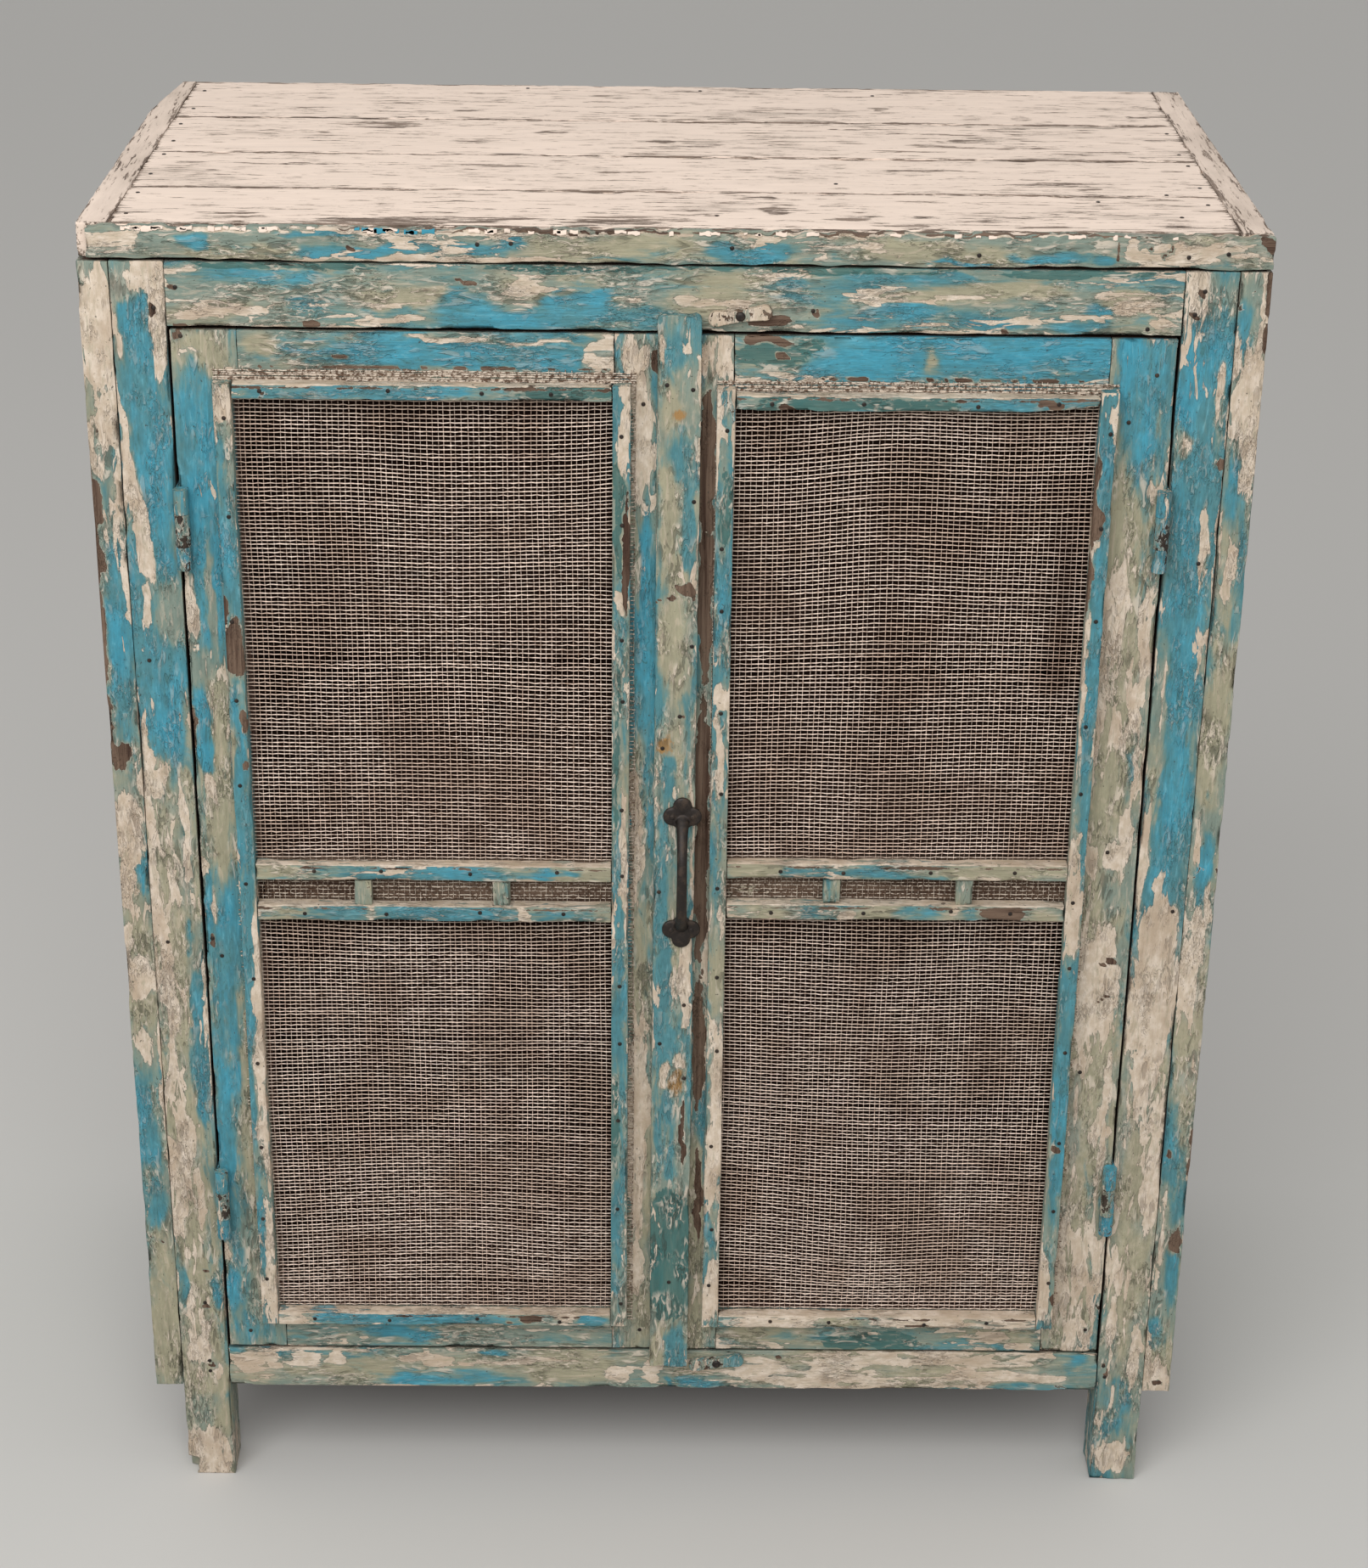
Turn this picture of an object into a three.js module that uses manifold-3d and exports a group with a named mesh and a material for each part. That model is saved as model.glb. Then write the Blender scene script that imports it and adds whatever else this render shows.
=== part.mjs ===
// A two-door jelly cupboard: posts, nailed side boards, a plank top and two doors
// filled with netting. Millimetres, +Z up, front towards -Y, origin at the middle of
// the footprint. Inside this file y = 0 is the front face of the case.
import * as THREE from 'three';
import { mergeVertices } from 'three/addons/utils/BufferGeometryUtils.js';
import Module from 'manifold-3d';

const wasm = await Module();
wasm.setup();

// Case
const cupboardWidth = 1000;
const cupboardDepth = 554;
const cupboardHeight = 1270;
const topThickness = 30;
const sideThickness = 27;
const postWidth = 46;
const railThickness = 24;
const topRailHeight = 56;
const bottomRailHeight = 45;
const legHeight = 107;
const backThickness = 15;
const boardWear = 1.2;
const boardJointGap = 1;
const footChipWidth = 9;
const footChipHeight = 21;
const footChipDepth = 15;
const footChipLean = THREE.MathUtils.degToRad(8);

// Grooves that show where the boards of a panel meet
const grooveWidth = 2.4;
const grooveDepth = 1.6;
const sideBoardWidth = 135;
const backBoardWidth = 189;
const floorBoardWidth = 130;

// Inside
const floorThickness = 18;
const shelfThickness = 18;
const shelfShare = 0.5;
const shelfSetback = 34;
const ledgerThickness = 20;
const ledgerHeight = 25;
const fitClearance = 0.5;

// Top
const lathThickness = 12;
const lathShortfall = 9;
const cleatBackWidth = 13;
const cleatTaperLength = 130;
const topBoardShares = [0, 0.223, 0.461, 0.72, 1];

// Doors
const doorTopGap = 2.5;
const doorBottomGap = 2.5;
const doorHingeGap = 3;
const doorMeetingGap = 3.5;
const doorThickness = 24;
const hingeStileWidth = 55;
const meetingStileWidth = 49;
const doorTopRailHeight = 60;
const doorMidRailHeight = 57;
const doorBottomRailHeight = 54;
const rightDoorProud = 0.6;

// Netting, seen as a coarse grille of the same outline
const netThickness = 1.6;
const netBar = 2.4;
const netColumns = 6;
const netRows = 25;
const netMargin = 7;

// Beads and battens that hold the netting
const beadWidth = 16;
const beadHeight = 14;
const beadDepth = 14;
const beadWear = 1;
const battenHeight = 16;
const battenPitch = 41;
const blockWidth = 16;
const blockShares = [0.3, 0.69];
const bottomBeadDrop = 4.5;
const verticalBeadRise = 5;
const meetingBeadInset = 1.5;

// What differs from one door to the other: the hinge-side bead stands this far from
// the stile's inner edge and the top bead this far above the opening, the middle rail
// lies at this share of the door's height, and the hinges lie in from the door's ends
const doorHabits = {
  left: { side: -1, proud: 0, hingeBeadShift: 5, topBeadLift: 4.5, midShare: 0.492,
    upperHingeDrop: 175.5, lowerHingeRise: 167.5 },
  right: { side: 1, proud: rightDoorProud, hingeBeadShift: -8, topBeadLift: -1.5, midShare: 0.497,
    upperHingeDrop: 169.5, lowerHingeRise: 178.5 },
};

// Cover strip over the meeting of the doors
const stripLeft = 14.5;
const stripRight = 23;
const stripTopLap = 17.5;
const stripBottomLap = 11;
const stripThickness = 12;
const stripCornerRadius = 5;

// Cast iron pull with a trefoil plate at each end
const pullX = 11.5;
const pullHeightShare = 0.5136;
const pullSpan = 114;
const pullReach = 34;
const pullPlateThickness = 3.4;
const pullPlateBevel = 1.2;
const lobeRadius = 9;
const lobeOut = 8.4;
const tipLobeRadius = 8.6;
const tipLobeOut = 10;
const pullBarWidth = 10;
const pullBarDepth = 8.4;
const pullSteps = 28;
const pullSides = 12;

// Turn buttons
const buttonLength = 54;
const buttonWidth = 13;
const buttonWaistShare = 0.78;
const buttonThickness = 6;
const buttonWear = 0.8;
const buttonGap = 1;
const buttonHole = 5.4;
const buttonTilt = THREE.MathUtils.degToRad(8);
const topButtonX = 55;
const topButtonRise = 15.5;
const bottomButtonX = 51.5;
const bottomButtonDrop = 11;
const screwShank = 4.6;
const screwHead = 8.6;
const screwHeadThickness = 2.2;

// Butt hinges
const hingeHeight = 73;
const leafThickness = 1.2;
const leafWidth = 21;
const leafWear = 0.5;
const knuckleRadius = 6.5;
const pinRadius = 2.6;
const pinClearance = 0.35;
const knuckleGap = 0.4;
const middleKnuckle = 30;
const upperKnuckle = 22;
const axisInset = 3;
const axisForward = 7.5;

const cutOverrun = 4;
const roundSides = 24;
const smallRoundSides = 12;

// Derived places
const halfWidth = cupboardWidth / 2;
const sideInner = halfWidth - sideThickness;
const openingHalf = sideInner - postWidth;
const underTop = cupboardHeight - topThickness;
const topRailLow = underTop - topRailHeight;
const bottomRailHigh = legHeight + bottomRailHeight;
const backFront = cupboardDepth - backThickness;
const doorHigh = topRailLow - doorTopGap;
const doorLow = bottomRailHigh + doorBottomGap;
const doorOuter = openingHalf - doorHingeGap;
const doorInner = doorMeetingGap / 2;
const panelOuter = doorOuter - hingeStileWidth;
const panelInner = doorInner + meetingStileWidth;
const panelHigh = doorHigh - doorTopRailHeight;
const panelLow = doorLow + doorBottomRailHeight;
const doorHeightAt = (share) => doorLow + share * (doorHigh - doorLow);
const pullHeight = doorHeightAt(pullHeightShare);
const topButton = { x: topButtonX, z: topRailLow + topButtonRise };
const bottomButton = { x: bottomButtonX, z: bottomRailHigh - bottomButtonDrop };

const colours = {
  paint: { color: 0x7a8c82, roughness: 0.72, metalness: 0 },
  turquoise: { color: 0x5f938f, roughness: 0.66, metalness: 0 },
  sage: { color: 0x80887a, roughness: 0.72, metalness: 0 },
  whitewash: { color: 0xdac9bb, roughness: 0.8, metalness: 0 },
  bareWood: { color: 0x7b6552, roughness: 0.85, metalness: 0 },
  netting: { color: 0xc9ab9b, roughness: 0.9, metalness: 0 },
  castIron: { color: 0x3d332e, roughness: 0.55, metalness: 0.8 },
  rustyIron: { color: 0x59675f, roughness: 0.7, metalness: 0.4 },
};

function piece(name, geometry, colour, x = 0, y = 0, z = 0) {
  const mesh = new THREE.Mesh(geometry, new THREE.MeshStandardMaterial(colours[colour]));
  mesh.name = name;
  mesh.position.set(x, y, z);
  return mesh;
}

// Solids for cutting and joining

function solid(geometry) {
  const shell = geometry.clone();
  shell.deleteAttribute('normal');
  shell.deleteAttribute('uv');
  const merged = mergeVertices(shell);
  return new wasm.Manifold(new wasm.Mesh({
    numProp: 3,
    vertProperties: new Float32Array(merged.attributes.position.array),
    triVerts: new Uint32Array(merged.index.array),
  }));
}

function geometryOf(body) {
  const mesh = body.getMesh();
  const geometry = new THREE.BufferGeometry();
  geometry.setAttribute('position', new THREE.BufferAttribute(mesh.vertProperties, 3));
  geometry.setIndex(new THREE.BufferAttribute(mesh.triVerts, 1));
  geometry.computeVertexNormals();
  return geometry;
}

function joined(geometries) {
  return geometries.map(solid).reduce((whole, next) => whole.add(next));
}

// A box between two corners, in place
function block(x0, x1, y0, y1, z0, z1) {
  const box = new THREE.BoxGeometry(x1 - x0, y1 - y0, z1 - z0);
  return box.translate((x0 + x1) / 2, (y0 + y1) / 2, (z0 + z1) / 2);
}

// A round bar along Z or along Y, in place
function barAlongZ(radius, x, y, z0, z1, sides = roundSides) {
  const bar = new THREE.CylinderGeometry(radius, radius, z1 - z0, sides);
  return bar.rotateX(Math.PI / 2).translate(x, y, (z0 + z1) / 2);
}

function barAlongY(radius, x, z, y0, y1, sides = smallRoundSides) {
  const bar = new THREE.CylinderGeometry(radius, radius, y1 - y0, sides);
  return bar.translate(x, (y0 + y1) / 2, z);
}

// An outline in X and Y, raised from z0 to z1 with worn ends
function raised(outline, z0, z1, wear) {
  const geometry = new THREE.ExtrudeGeometry(outline, {
    depth: z1 - z0 - 2 * wear,
    bevelEnabled: wear > 0,
    bevelThickness: wear,
    bevelSize: wear,
    bevelOffset: -wear,
    bevelSegments: 1,
    curveSegments: smallRoundSides / 2,
  });
  return geometry.translate(0, 0, z0 + wear);
}

// An outline in X and Z, with its back at yBack and its worn front at yFront
function facing(outline, yFront, yBack, wear) {
  const geometry = raised(outline, -wear, yBack - yFront, wear);
  const upright = geometry.rotateX(Math.PI / 2).translate(0, yBack, 0);
  const keep = solid(block(-cupboardWidth, cupboardWidth, yFront, yBack, -cupboardHeight, 2 * cupboardHeight));
  return geometryOf(solid(upright).intersect(keep));
}

// A sawn board with worn arrises, as a named piece standing at its own middle
function boardGeometry(width, depth, height, wear) {
  const w = width / 2;
  const d = depth / 2;
  const outline = new THREE.Shape([
    new THREE.Vector2(wear - w, -d), new THREE.Vector2(w - wear, -d),
    new THREE.Vector2(w, wear - d), new THREE.Vector2(w, d - wear),
    new THREE.Vector2(w - wear, d), new THREE.Vector2(wear - w, d),
    new THREE.Vector2(-w, d - wear), new THREE.Vector2(-w, wear - d),
  ]);
  return raised(outline, -height / 2, height / 2, wear);
}

function board(name, colour, x0, x1, y0, y1, z0, z1, wear = boardWear) {
  const geometry = boardGeometry(x1 - x0, y1 - y0, z1 - z0, wear);
  return piece(name, geometry, colour, (x0 + x1) / 2, (y0 + y1) / 2, (z0 + z1) / 2);
}

// The same board in place, for cutting and joining
function boardInPlace(x0, x1, y0, y1, z0, z1, wear = boardWear) {
  const geometry = boardGeometry(x1 - x0, y1 - y0, z1 - z0, wear);
  return geometry.translate((x0 + x1) / 2, (y0 + y1) / 2, (z0 + z1) / 2);
}

// A three-sided cutter for one groove: across is the axis that the groove's width
// lies on, into the axis that it is cut along, at the place on that axis
function groove(across, into, at, place, length, run) {
  const reach = grooveDepth + cutOverrun;
  const half = grooveWidth / 2 * reach / grooveDepth;
  const wedge = new THREE.Shape([
    new THREE.Vector2(0, grooveDepth), new THREE.Vector2(-half, grooveDepth - reach),
    new THREE.Vector2(half, grooveDepth - reach),
  ]);
  const cutter = new THREE.ExtrudeGeometry(wedge, { depth: length, bevelEnabled: false });
  const frame = new THREE.Matrix4().makeBasis(across, into, run);
  cutter.applyMatrix4(frame);
  if (frame.determinant() < 0) turnFacesOut(cutter);
  return cutter.translate(at.x + place.x, at.y + place.y, at.z + place.z);
}

// Swaps two corners of each face, for a shape that a mirrored frame has turned inside out
function turnFacesOut(geometry) {
  const points = geometry.attributes.position;
  const [first, second] = [new THREE.Vector3(), new THREE.Vector3()];
  for (let i = 0; i < points.count; i += 3) {
    first.fromBufferAttribute(points, i);
    second.fromBufferAttribute(points, i + 1);
    points.setXYZ(i, second.x, second.y, second.z);
    points.setXYZ(i + 1, first.x, first.y, first.z);
  }
}

// A panel of boards side by side: one board-shaped solid, grooved on both faces
function grooved(whole, across, into, run, low, high, boardWidth, thickness) {
  const span = new THREE.Vector3().subVectors(high, low);
  const width = Math.abs(span.dot(across));
  const length = Math.abs(span.dot(run)) + 2 * cutOverrun;
  const start = low.clone().addScaledVector(run, -cutOverrun);
  const count = Math.round(width / boardWidth);
  let panel = whole;
  for (let i = 1; i < count; i += 1) {
    const shift = across.clone().multiplyScalar(i * width / count);
    const far = shift.clone().addScaledVector(into, thickness);
    const back = into.clone().negate();
    panel = panel.subtract(solid(groove(across, into, start, shift, length, run)));
    panel = panel.subtract(solid(groove(across, back, start, far, length, run)));
  }
  return geometryOf(panel);
}

const alongX = new THREE.Vector3(1, 0, 0);
const alongY = new THREE.Vector3(0, 1, 0);
const alongZ = new THREE.Vector3(0, 0, 1);

// Carcass

function posts() {
  const backLow = backFront - postWidth;
  const group = new THREE.Group();
  const post = (name, side, y0) => board(name, 'paint',
    side > 0 ? openingHalf : -sideInner, side > 0 ? sideInner : -openingHalf, y0, y0 + postWidth, 0, underTop);
  group.add(brokenFootPost());
  group.add(post('front_right_post', 1, 0));
  group.add(post('back_left_post', -1, backLow));
  group.add(post('back_right_post', 1, backLow));
  return group;
}

// The front left foot has lost its outer corner
function brokenFootPost() {
  const whole = solid(boardInPlace(-sideInner, -openingHalf, 0, postWidth, 0, underTop));
  const chip = block(-footChipWidth - cutOverrun, 0, -cutOverrun, footChipDepth, -cutOverrun, footChipHeight);
  chip.rotateY(-footChipLean).translate(footChipWidth - sideInner, 0, 0);
  return piece('front_left_post', geometryOf(whole.subtract(solid(chip))), 'paint');
}

function pivotScrew(spot) {
  const headBack = -2 * buttonGap - buttonThickness;
  const shank = barAlongY(screwShank / 2, spot.x, spot.z, headBack - screwHeadThickness / 2, cutOverrun);
  const head = new THREE.CylinderGeometry(screwHead / 2, screwHead / 3, screwHeadThickness, roundSides);
  head.translate(spot.x, headBack - screwHeadThickness / 2, spot.z);
  return [shank, head];
}

function frontRails() {
  const group = new THREE.Group();
  const topRail = boardInPlace(-openingHalf, openingHalf, 0, railThickness, topRailLow, underTop);
  const bottomRail = boardInPlace(-openingHalf, openingHalf, 0, railThickness, legHeight, bottomRailHigh);
  group.add(piece('front_top_rail', geometryOf(joined([topRail, ...pivotScrew(topButton)])), 'paint'));
  group.add(piece('front_bottom_rail', geometryOf(joined([bottomRail, ...pivotScrew(bottomButton)])), 'sage'));
  return group;
}

function sides() {
  const group = new THREE.Group();
  for (const [name, x0] of [['left_side', -halfWidth], ['right_side', sideInner]]) {
    const low = new THREE.Vector3(x0, 0, legHeight);
    const high = new THREE.Vector3(x0 + sideThickness, backFront, underTop);
    const whole = solid(boardInPlace(low.x, high.x, low.y, high.y, low.z, high.z));
    const panel = grooved(whole, alongY, alongX, alongZ, low, high, sideBoardWidth, sideThickness);
    group.add(piece(name, panel, 'paint'));
  }
  return group;
}

function backPanel() {
  const low = new THREE.Vector3(-halfWidth, backFront, legHeight);
  const high = new THREE.Vector3(halfWidth, cupboardDepth, underTop);
  const whole = solid(boardInPlace(low.x, high.x, low.y, high.y, low.z, high.z));
  return piece('back_panel', grooved(whole, alongZ, alongY, alongX, low, high, backBoardWidth, backThickness),
    'bareWood');
}

// Boards that lie on ledgers and are notched round the posts
function notchedBoards(name, yFront, z0, thickness) {
  const x = sideInner - fitClearance;
  const inner = openingHalf - fitClearance;
  const frontNotch = postWidth + fitClearance;
  const backNotch = backFront - postWidth - fitClearance;
  const yBack = backFront - fitClearance;
  const outline = new THREE.Shape([
    new THREE.Vector2(-inner, yFront), new THREE.Vector2(inner, yFront),
    new THREE.Vector2(inner, frontNotch), new THREE.Vector2(x, frontNotch),
    new THREE.Vector2(x, backNotch), new THREE.Vector2(inner, backNotch),
    new THREE.Vector2(inner, yBack), new THREE.Vector2(-inner, yBack),
    new THREE.Vector2(-inner, backNotch), new THREE.Vector2(-x, backNotch),
    new THREE.Vector2(-x, frontNotch), new THREE.Vector2(-inner, frontNotch),
  ]);
  const whole = solid(raised(outline, z0, z0 + thickness, 0));
  const low = new THREE.Vector3(-sideInner, yFront, z0);
  const high = new THREE.Vector3(sideInner, yBack, z0 + thickness);
  return piece(name, grooved(whole, alongY, alongZ, alongX, low, high, floorBoardWidth, thickness), 'bareWood');
}

function inside() {
  const group = new THREE.Group();
  const floorLow = bottomRailHigh - floorThickness;
  const shelfLow = doorHeightAt(shelfShare) - shelfThickness;
  group.add(notchedBoards('floor_boards', railThickness + fitClearance, floorLow, floorThickness));
  group.add(notchedBoards('shelf', shelfSetback, shelfLow, shelfThickness));
  const ledger = (name, side, z1) => board(name, 'bareWood',
    side > 0 ? sideInner - ledgerThickness : -sideInner, side > 0 ? sideInner : ledgerThickness - sideInner,
    postWidth, backFront - postWidth, z1 - ledgerHeight, z1);
  group.add(ledger('left_floor_ledger', -1, floorLow), ledger('right_floor_ledger', 1, floorLow));
  group.add(ledger('left_shelf_ledger', -1, shelfLow), ledger('right_shelf_ledger', 1, shelfLow));
  return group;
}

// Top: long boards between two end cleats, with a lath nailed along the front

function topPlanks() {
  const group = new THREE.Group();
  const run = cupboardDepth - lathThickness;
  for (let i = 1; i < topBoardShares.length; i += 1) {
    const y0 = lathThickness + run * topBoardShares[i - 1];
    const gap = i < topBoardShares.length - 1 ? boardJointGap : 0;
    const y1 = lathThickness + run * topBoardShares[i] - gap;
    group.add(board(`top_board_${i}`, 'whitewash', -sideInner, sideInner, y0, y1, underTop, cupboardHeight));
  }
  return group;
}

// The left cleat is worn away to a taper towards its back end
function topEdges() {
  const taperStart = cupboardDepth - cleatTaperLength;
  const outline = new THREE.Shape([
    new THREE.Vector2(-halfWidth, lathThickness), new THREE.Vector2(-sideInner, lathThickness),
    new THREE.Vector2(-sideInner, cupboardDepth), new THREE.Vector2(-sideInner - cleatBackWidth, cupboardDepth),
    new THREE.Vector2(-halfWidth, taperStart),
  ]);
  const group = new THREE.Group();
  group.add(piece('top_left_cleat', raised(outline, underTop, cupboardHeight, boardWear), 'whitewash'));
  group.add(board('top_right_cleat', 'whitewash', sideInner, halfWidth, lathThickness, cupboardDepth,
    underTop, cupboardHeight));
  group.add(board('top_front_lath', 'sage', lathShortfall - halfWidth, halfWidth, 0, lathThickness,
    underTop, cupboardHeight));
  return group;
}

// Doors. Places across a door are distances from the middle of the cupboard.

function span(side, inner, outer) {
  return side > 0 ? [inner, outer] : [-outer, -inner];
}

function doorFrame(which, habit) {
  const group = new THREE.Group();
  const y0 = -habit.proud;
  const y1 = y0 + doorThickness;
  const stile = (name, u0, u1) => group.add(board(`${which}_door_${name}`, 'turquoise',
    ...span(habit.side, u0, u1), y0, y1, doorLow, doorHigh));
  const rail = (name, z0, z1) => group.add(board(`${which}_door_${name}`, 'turquoise',
    ...span(habit.side, panelInner, panelOuter), y0, y1, z0, z1));
  stile('hinge_stile', panelOuter, doorOuter);
  stile('meeting_stile', doorInner, panelInner);
  rail('top_rail', panelHigh, doorHigh);
  const middle = doorHeightAt(habit.midShare);
  rail('mid_rail', middle - doorMidRailHeight / 2, middle + doorMidRailHeight / 2);
  rail('bottom_rail', doorLow, panelLow);
  return group;
}

// Bead places of one door: the inner edges of the beads bound the netting that shows
function beadPlaces(habit) {
  return {
    outer: panelOuter + habit.hingeBeadShift,
    inner: panelInner + meetingBeadInset,
    high: panelHigh + habit.topBeadLift,
    low: panelLow - bottomBeadDrop,
    yBack: -habit.proud - netThickness,
    yFront: -habit.proud - netThickness - beadDepth,
  };
}

// Lines across a net: a bar, a gap, a bar and so on from the low end to the high end
function netLines(low, high, gaps) {
  const step = (high - low - netBar) / gaps;
  const lines = [];
  for (let i = 0; i <= gaps; i += 1) lines.push(low + i * step, low + i * step + netBar);
  return lines;
}

// A flat sheet between the lines, its back at y = 0, open wherever two gaps cross
function netGeometry(xs, zs) {
  const isBar = (i, j) => i >= 0 && j >= 0 && i < xs.length - 1 && j < zs.length - 1
    && (i % 2 === 0 || j % 2 === 0);
  const points = [];
  for (const y of [0, -netThickness]) {
    for (const z of zs) xs.forEach((x) => points.push(x, y, z));
  }
  const back = (i, j) => j * xs.length + i;
  const front = (i, j) => zs.length * xs.length + back(i, j);
  const faces = [];
  const quad = (a, b, c, d) => faces.push(a, b, c, a, c, d);
  for (let i = 0; i < xs.length - 1; i += 1) {
    for (let j = 0; j < zs.length - 1; j += 1) {
      if (!isBar(i, j)) continue;
      quad(front(i, j), front(i + 1, j), front(i + 1, j + 1), front(i, j + 1));
      quad(back(i, j), back(i, j + 1), back(i + 1, j + 1), back(i + 1, j));
      if (!isBar(i - 1, j)) quad(back(i, j), front(i, j), front(i, j + 1), back(i, j + 1));
      if (!isBar(i + 1, j)) quad(front(i + 1, j), back(i + 1, j), back(i + 1, j + 1), front(i + 1, j + 1));
      if (!isBar(i, j - 1)) quad(front(i, j), back(i, j), back(i + 1, j), front(i + 1, j));
      if (!isBar(i, j + 1)) quad(front(i, j + 1), front(i + 1, j + 1), back(i + 1, j + 1), back(i, j + 1));
    }
  }
  const geometry = new THREE.BufferGeometry();
  geometry.setAttribute('position', new THREE.Float32BufferAttribute(points, 3));
  geometry.setIndex(faces);
  return geometryOf(solid(geometry));
}

// One flat net per door, caught under the beads on all four sides
function net(which, habit) {
  const b = beadPlaces(habit);
  const [x0, x1] = span(habit.side, b.inner - beadWidth - netMargin, b.outer + beadWidth);
  const xs = netLines(x0, x1, netColumns);
  const zs = netLines(b.low - beadHeight, b.high + beadHeight + netMargin, netRows);
  return piece(`${which}_door_net`, netGeometry(xs, zs), 'netting', 0, -habit.proud, 0);
}

function beads(which, habit) {
  const group = new THREE.Group();
  const b = beadPlaces(habit);
  const strip = (name, u0, u1, z0, z1) => group.add(board(`${which}_door_${name}`, 'turquoise',
    ...span(habit.side, u0, u1), b.yFront, b.yBack, z0, z1, beadWear));
  const uprightHigh = b.high + beadHeight + (habit.side > 0 ? verticalBeadRise : 0);
  strip('hinge_bead', b.outer, b.outer + beadWidth, b.low - beadHeight, uprightHigh);
  strip('meeting_bead', b.inner - beadWidth, b.inner, b.low - beadHeight, uprightHigh);
  strip('top_bead', b.inner, b.outer, b.high, b.high + beadHeight);
  strip('bottom_bead', b.inner, b.outer, b.low - beadHeight, b.low);
  return group;
}

// Two battens across the mid rail; the lower one carries two small blocks
function midBattens(which, habit) {
  const b = beadPlaces(habit);
  const [x0, x1] = span(habit.side, b.inner, b.outer);
  const lowBatten = doorHeightAt(habit.midShare) - (battenPitch + battenHeight) / 2;
  const highBatten = lowBatten + battenPitch;
  const upper = board(`${which}_door_upper_batten`, 'sage', x0, x1, b.yFront, b.yBack,
    highBatten, highBatten + battenHeight, beadWear);
  const parts = [boardInPlace(x0, x1, b.yFront, b.yBack, lowBatten, lowBatten + battenHeight, beadWear)];
  for (const share of blockShares) {
    const middle = b.outer - share * (b.outer - b.inner);
    const [left, right] = span(habit.side, middle - blockWidth / 2, middle + blockWidth / 2);
    parts.push(boardInPlace(left, right, b.yFront + 2 * beadWear, b.yBack,
      lowBatten + battenHeight - 2 * beadWear, highBatten - fitClearance, beadWear));
  }
  const group = new THREE.Group();
  group.add(upper);
  group.add(piece(`${which}_door_lower_batten`, geometryOf(joined(parts)), 'sage'));
  return group;
}

function coverStrip() {
  const y = -rightDoorProud;
  const r = stripCornerRadius;
  const high = topRailLow + stripTopLap;
  const low = bottomRailHigh - stripBottomLap;
  const outline = new THREE.Shape();
  outline.moveTo(-stripLeft, low);
  outline.lineTo(stripRight, low);
  outline.lineTo(stripRight, high - r);
  outline.absarc(stripRight - r, high - r, r, 0, Math.PI / 2, false);
  outline.lineTo(r - stripLeft, high);
  outline.absarc(r - stripLeft, high - r, r, Math.PI / 2, Math.PI, false);
  return piece('cover_strip', facing(outline, y - stripThickness, y, boardWear), 'sage');
}

// Pull: each plate is three lobes with bevelled rims; the bar bows forward between

function lobe(radius, x, z, yBack) {
  const disc = new THREE.CylinderGeometry(radius, radius - pullPlateBevel, pullPlateThickness, roundSides);
  return disc.translate(x, yBack - pullPlateThickness / 2, z);
}

function trefoil(z, up, yBack) {
  return [
    lobe(lobeRadius, pullX - lobeOut, z, yBack), lobe(lobeRadius, pullX + lobeOut, z, yBack),
    lobe(tipLobeRadius, pullX, z + up * tipLobeOut, yBack), lobe(tipLobeRadius, pullX, z - up * lobeRadius / 2, yBack),
  ];
}

function pullHandle() {
  const yBack = -rightDoorProud - stripThickness;
  const foot = yBack - pullPlateThickness / 2;
  const bow = pullReach - pullBarDepth / 2 - pullPlateThickness / 2;
  const lead = pullSpan / 2 - lobeRadius / 2;
  const path = new THREE.CubicBezierCurve3(
    new THREE.Vector3(pullX, foot, pullHeight + lead),
    new THREE.Vector3(pullX, foot - bow * 4 / 3, pullHeight + lead),
    new THREE.Vector3(pullX, foot - bow * 4 / 3, pullHeight - lead),
    new THREE.Vector3(pullX, foot, pullHeight - lead),
  );
  const section = new THREE.Shape();
  section.absellipse(0, 0, pullBarWidth / 2, pullBarDepth / 2, 0, 2 * Math.PI, false, 0);
  const bar = new THREE.ExtrudeGeometry(section, {
    steps: pullSteps, curveSegments: pullSides / 2, extrudePath: path, bevelEnabled: false,
  });
  const half = pullSpan / 2;
  const parts = [bar, ...trefoil(pullHeight + half, 1, yBack), ...trefoil(pullHeight - half, -1, yBack)];
  return piece('pull_handle', geometryOf(joined(parts)), 'castIron');
}

// Turn buttons: waisted bars with round ends that turn on a screw

function turnButton(name, spot, colour) {
  const endRadius = buttonWidth / 2;
  const straight = buttonLength / 2 - endRadius;
  const waist = endRadius * buttonWaistShare;
  const outline = new THREE.Shape();
  outline.absarc(straight, 0, endRadius, -Math.PI / 2, Math.PI / 2, false);
  outline.quadraticCurveTo(0, 2 * waist - endRadius, -straight, endRadius);
  outline.absarc(-straight, 0, endRadius, Math.PI / 2, Math.PI * 3 / 2, false);
  outline.quadraticCurveTo(0, endRadius - 2 * waist, straight, -endRadius);
  const blank = solid(facing(outline, -buttonThickness, 0, buttonWear));
  const hole = solid(barAlongY(buttonHole / 2, 0, 0, -buttonThickness - cutOverrun, cutOverrun));
  const button = piece(name, geometryOf(blank.subtract(hole)), colour, spot.x, -buttonGap, spot.z);
  button.rotation.y = -buttonTilt;
  return button;
}

// Butt hinge: the frame leaf holds the outer knuckles and the pin, the door leaf the
// middle knuckle. Both leaves lie in the gap between post and door.

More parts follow.
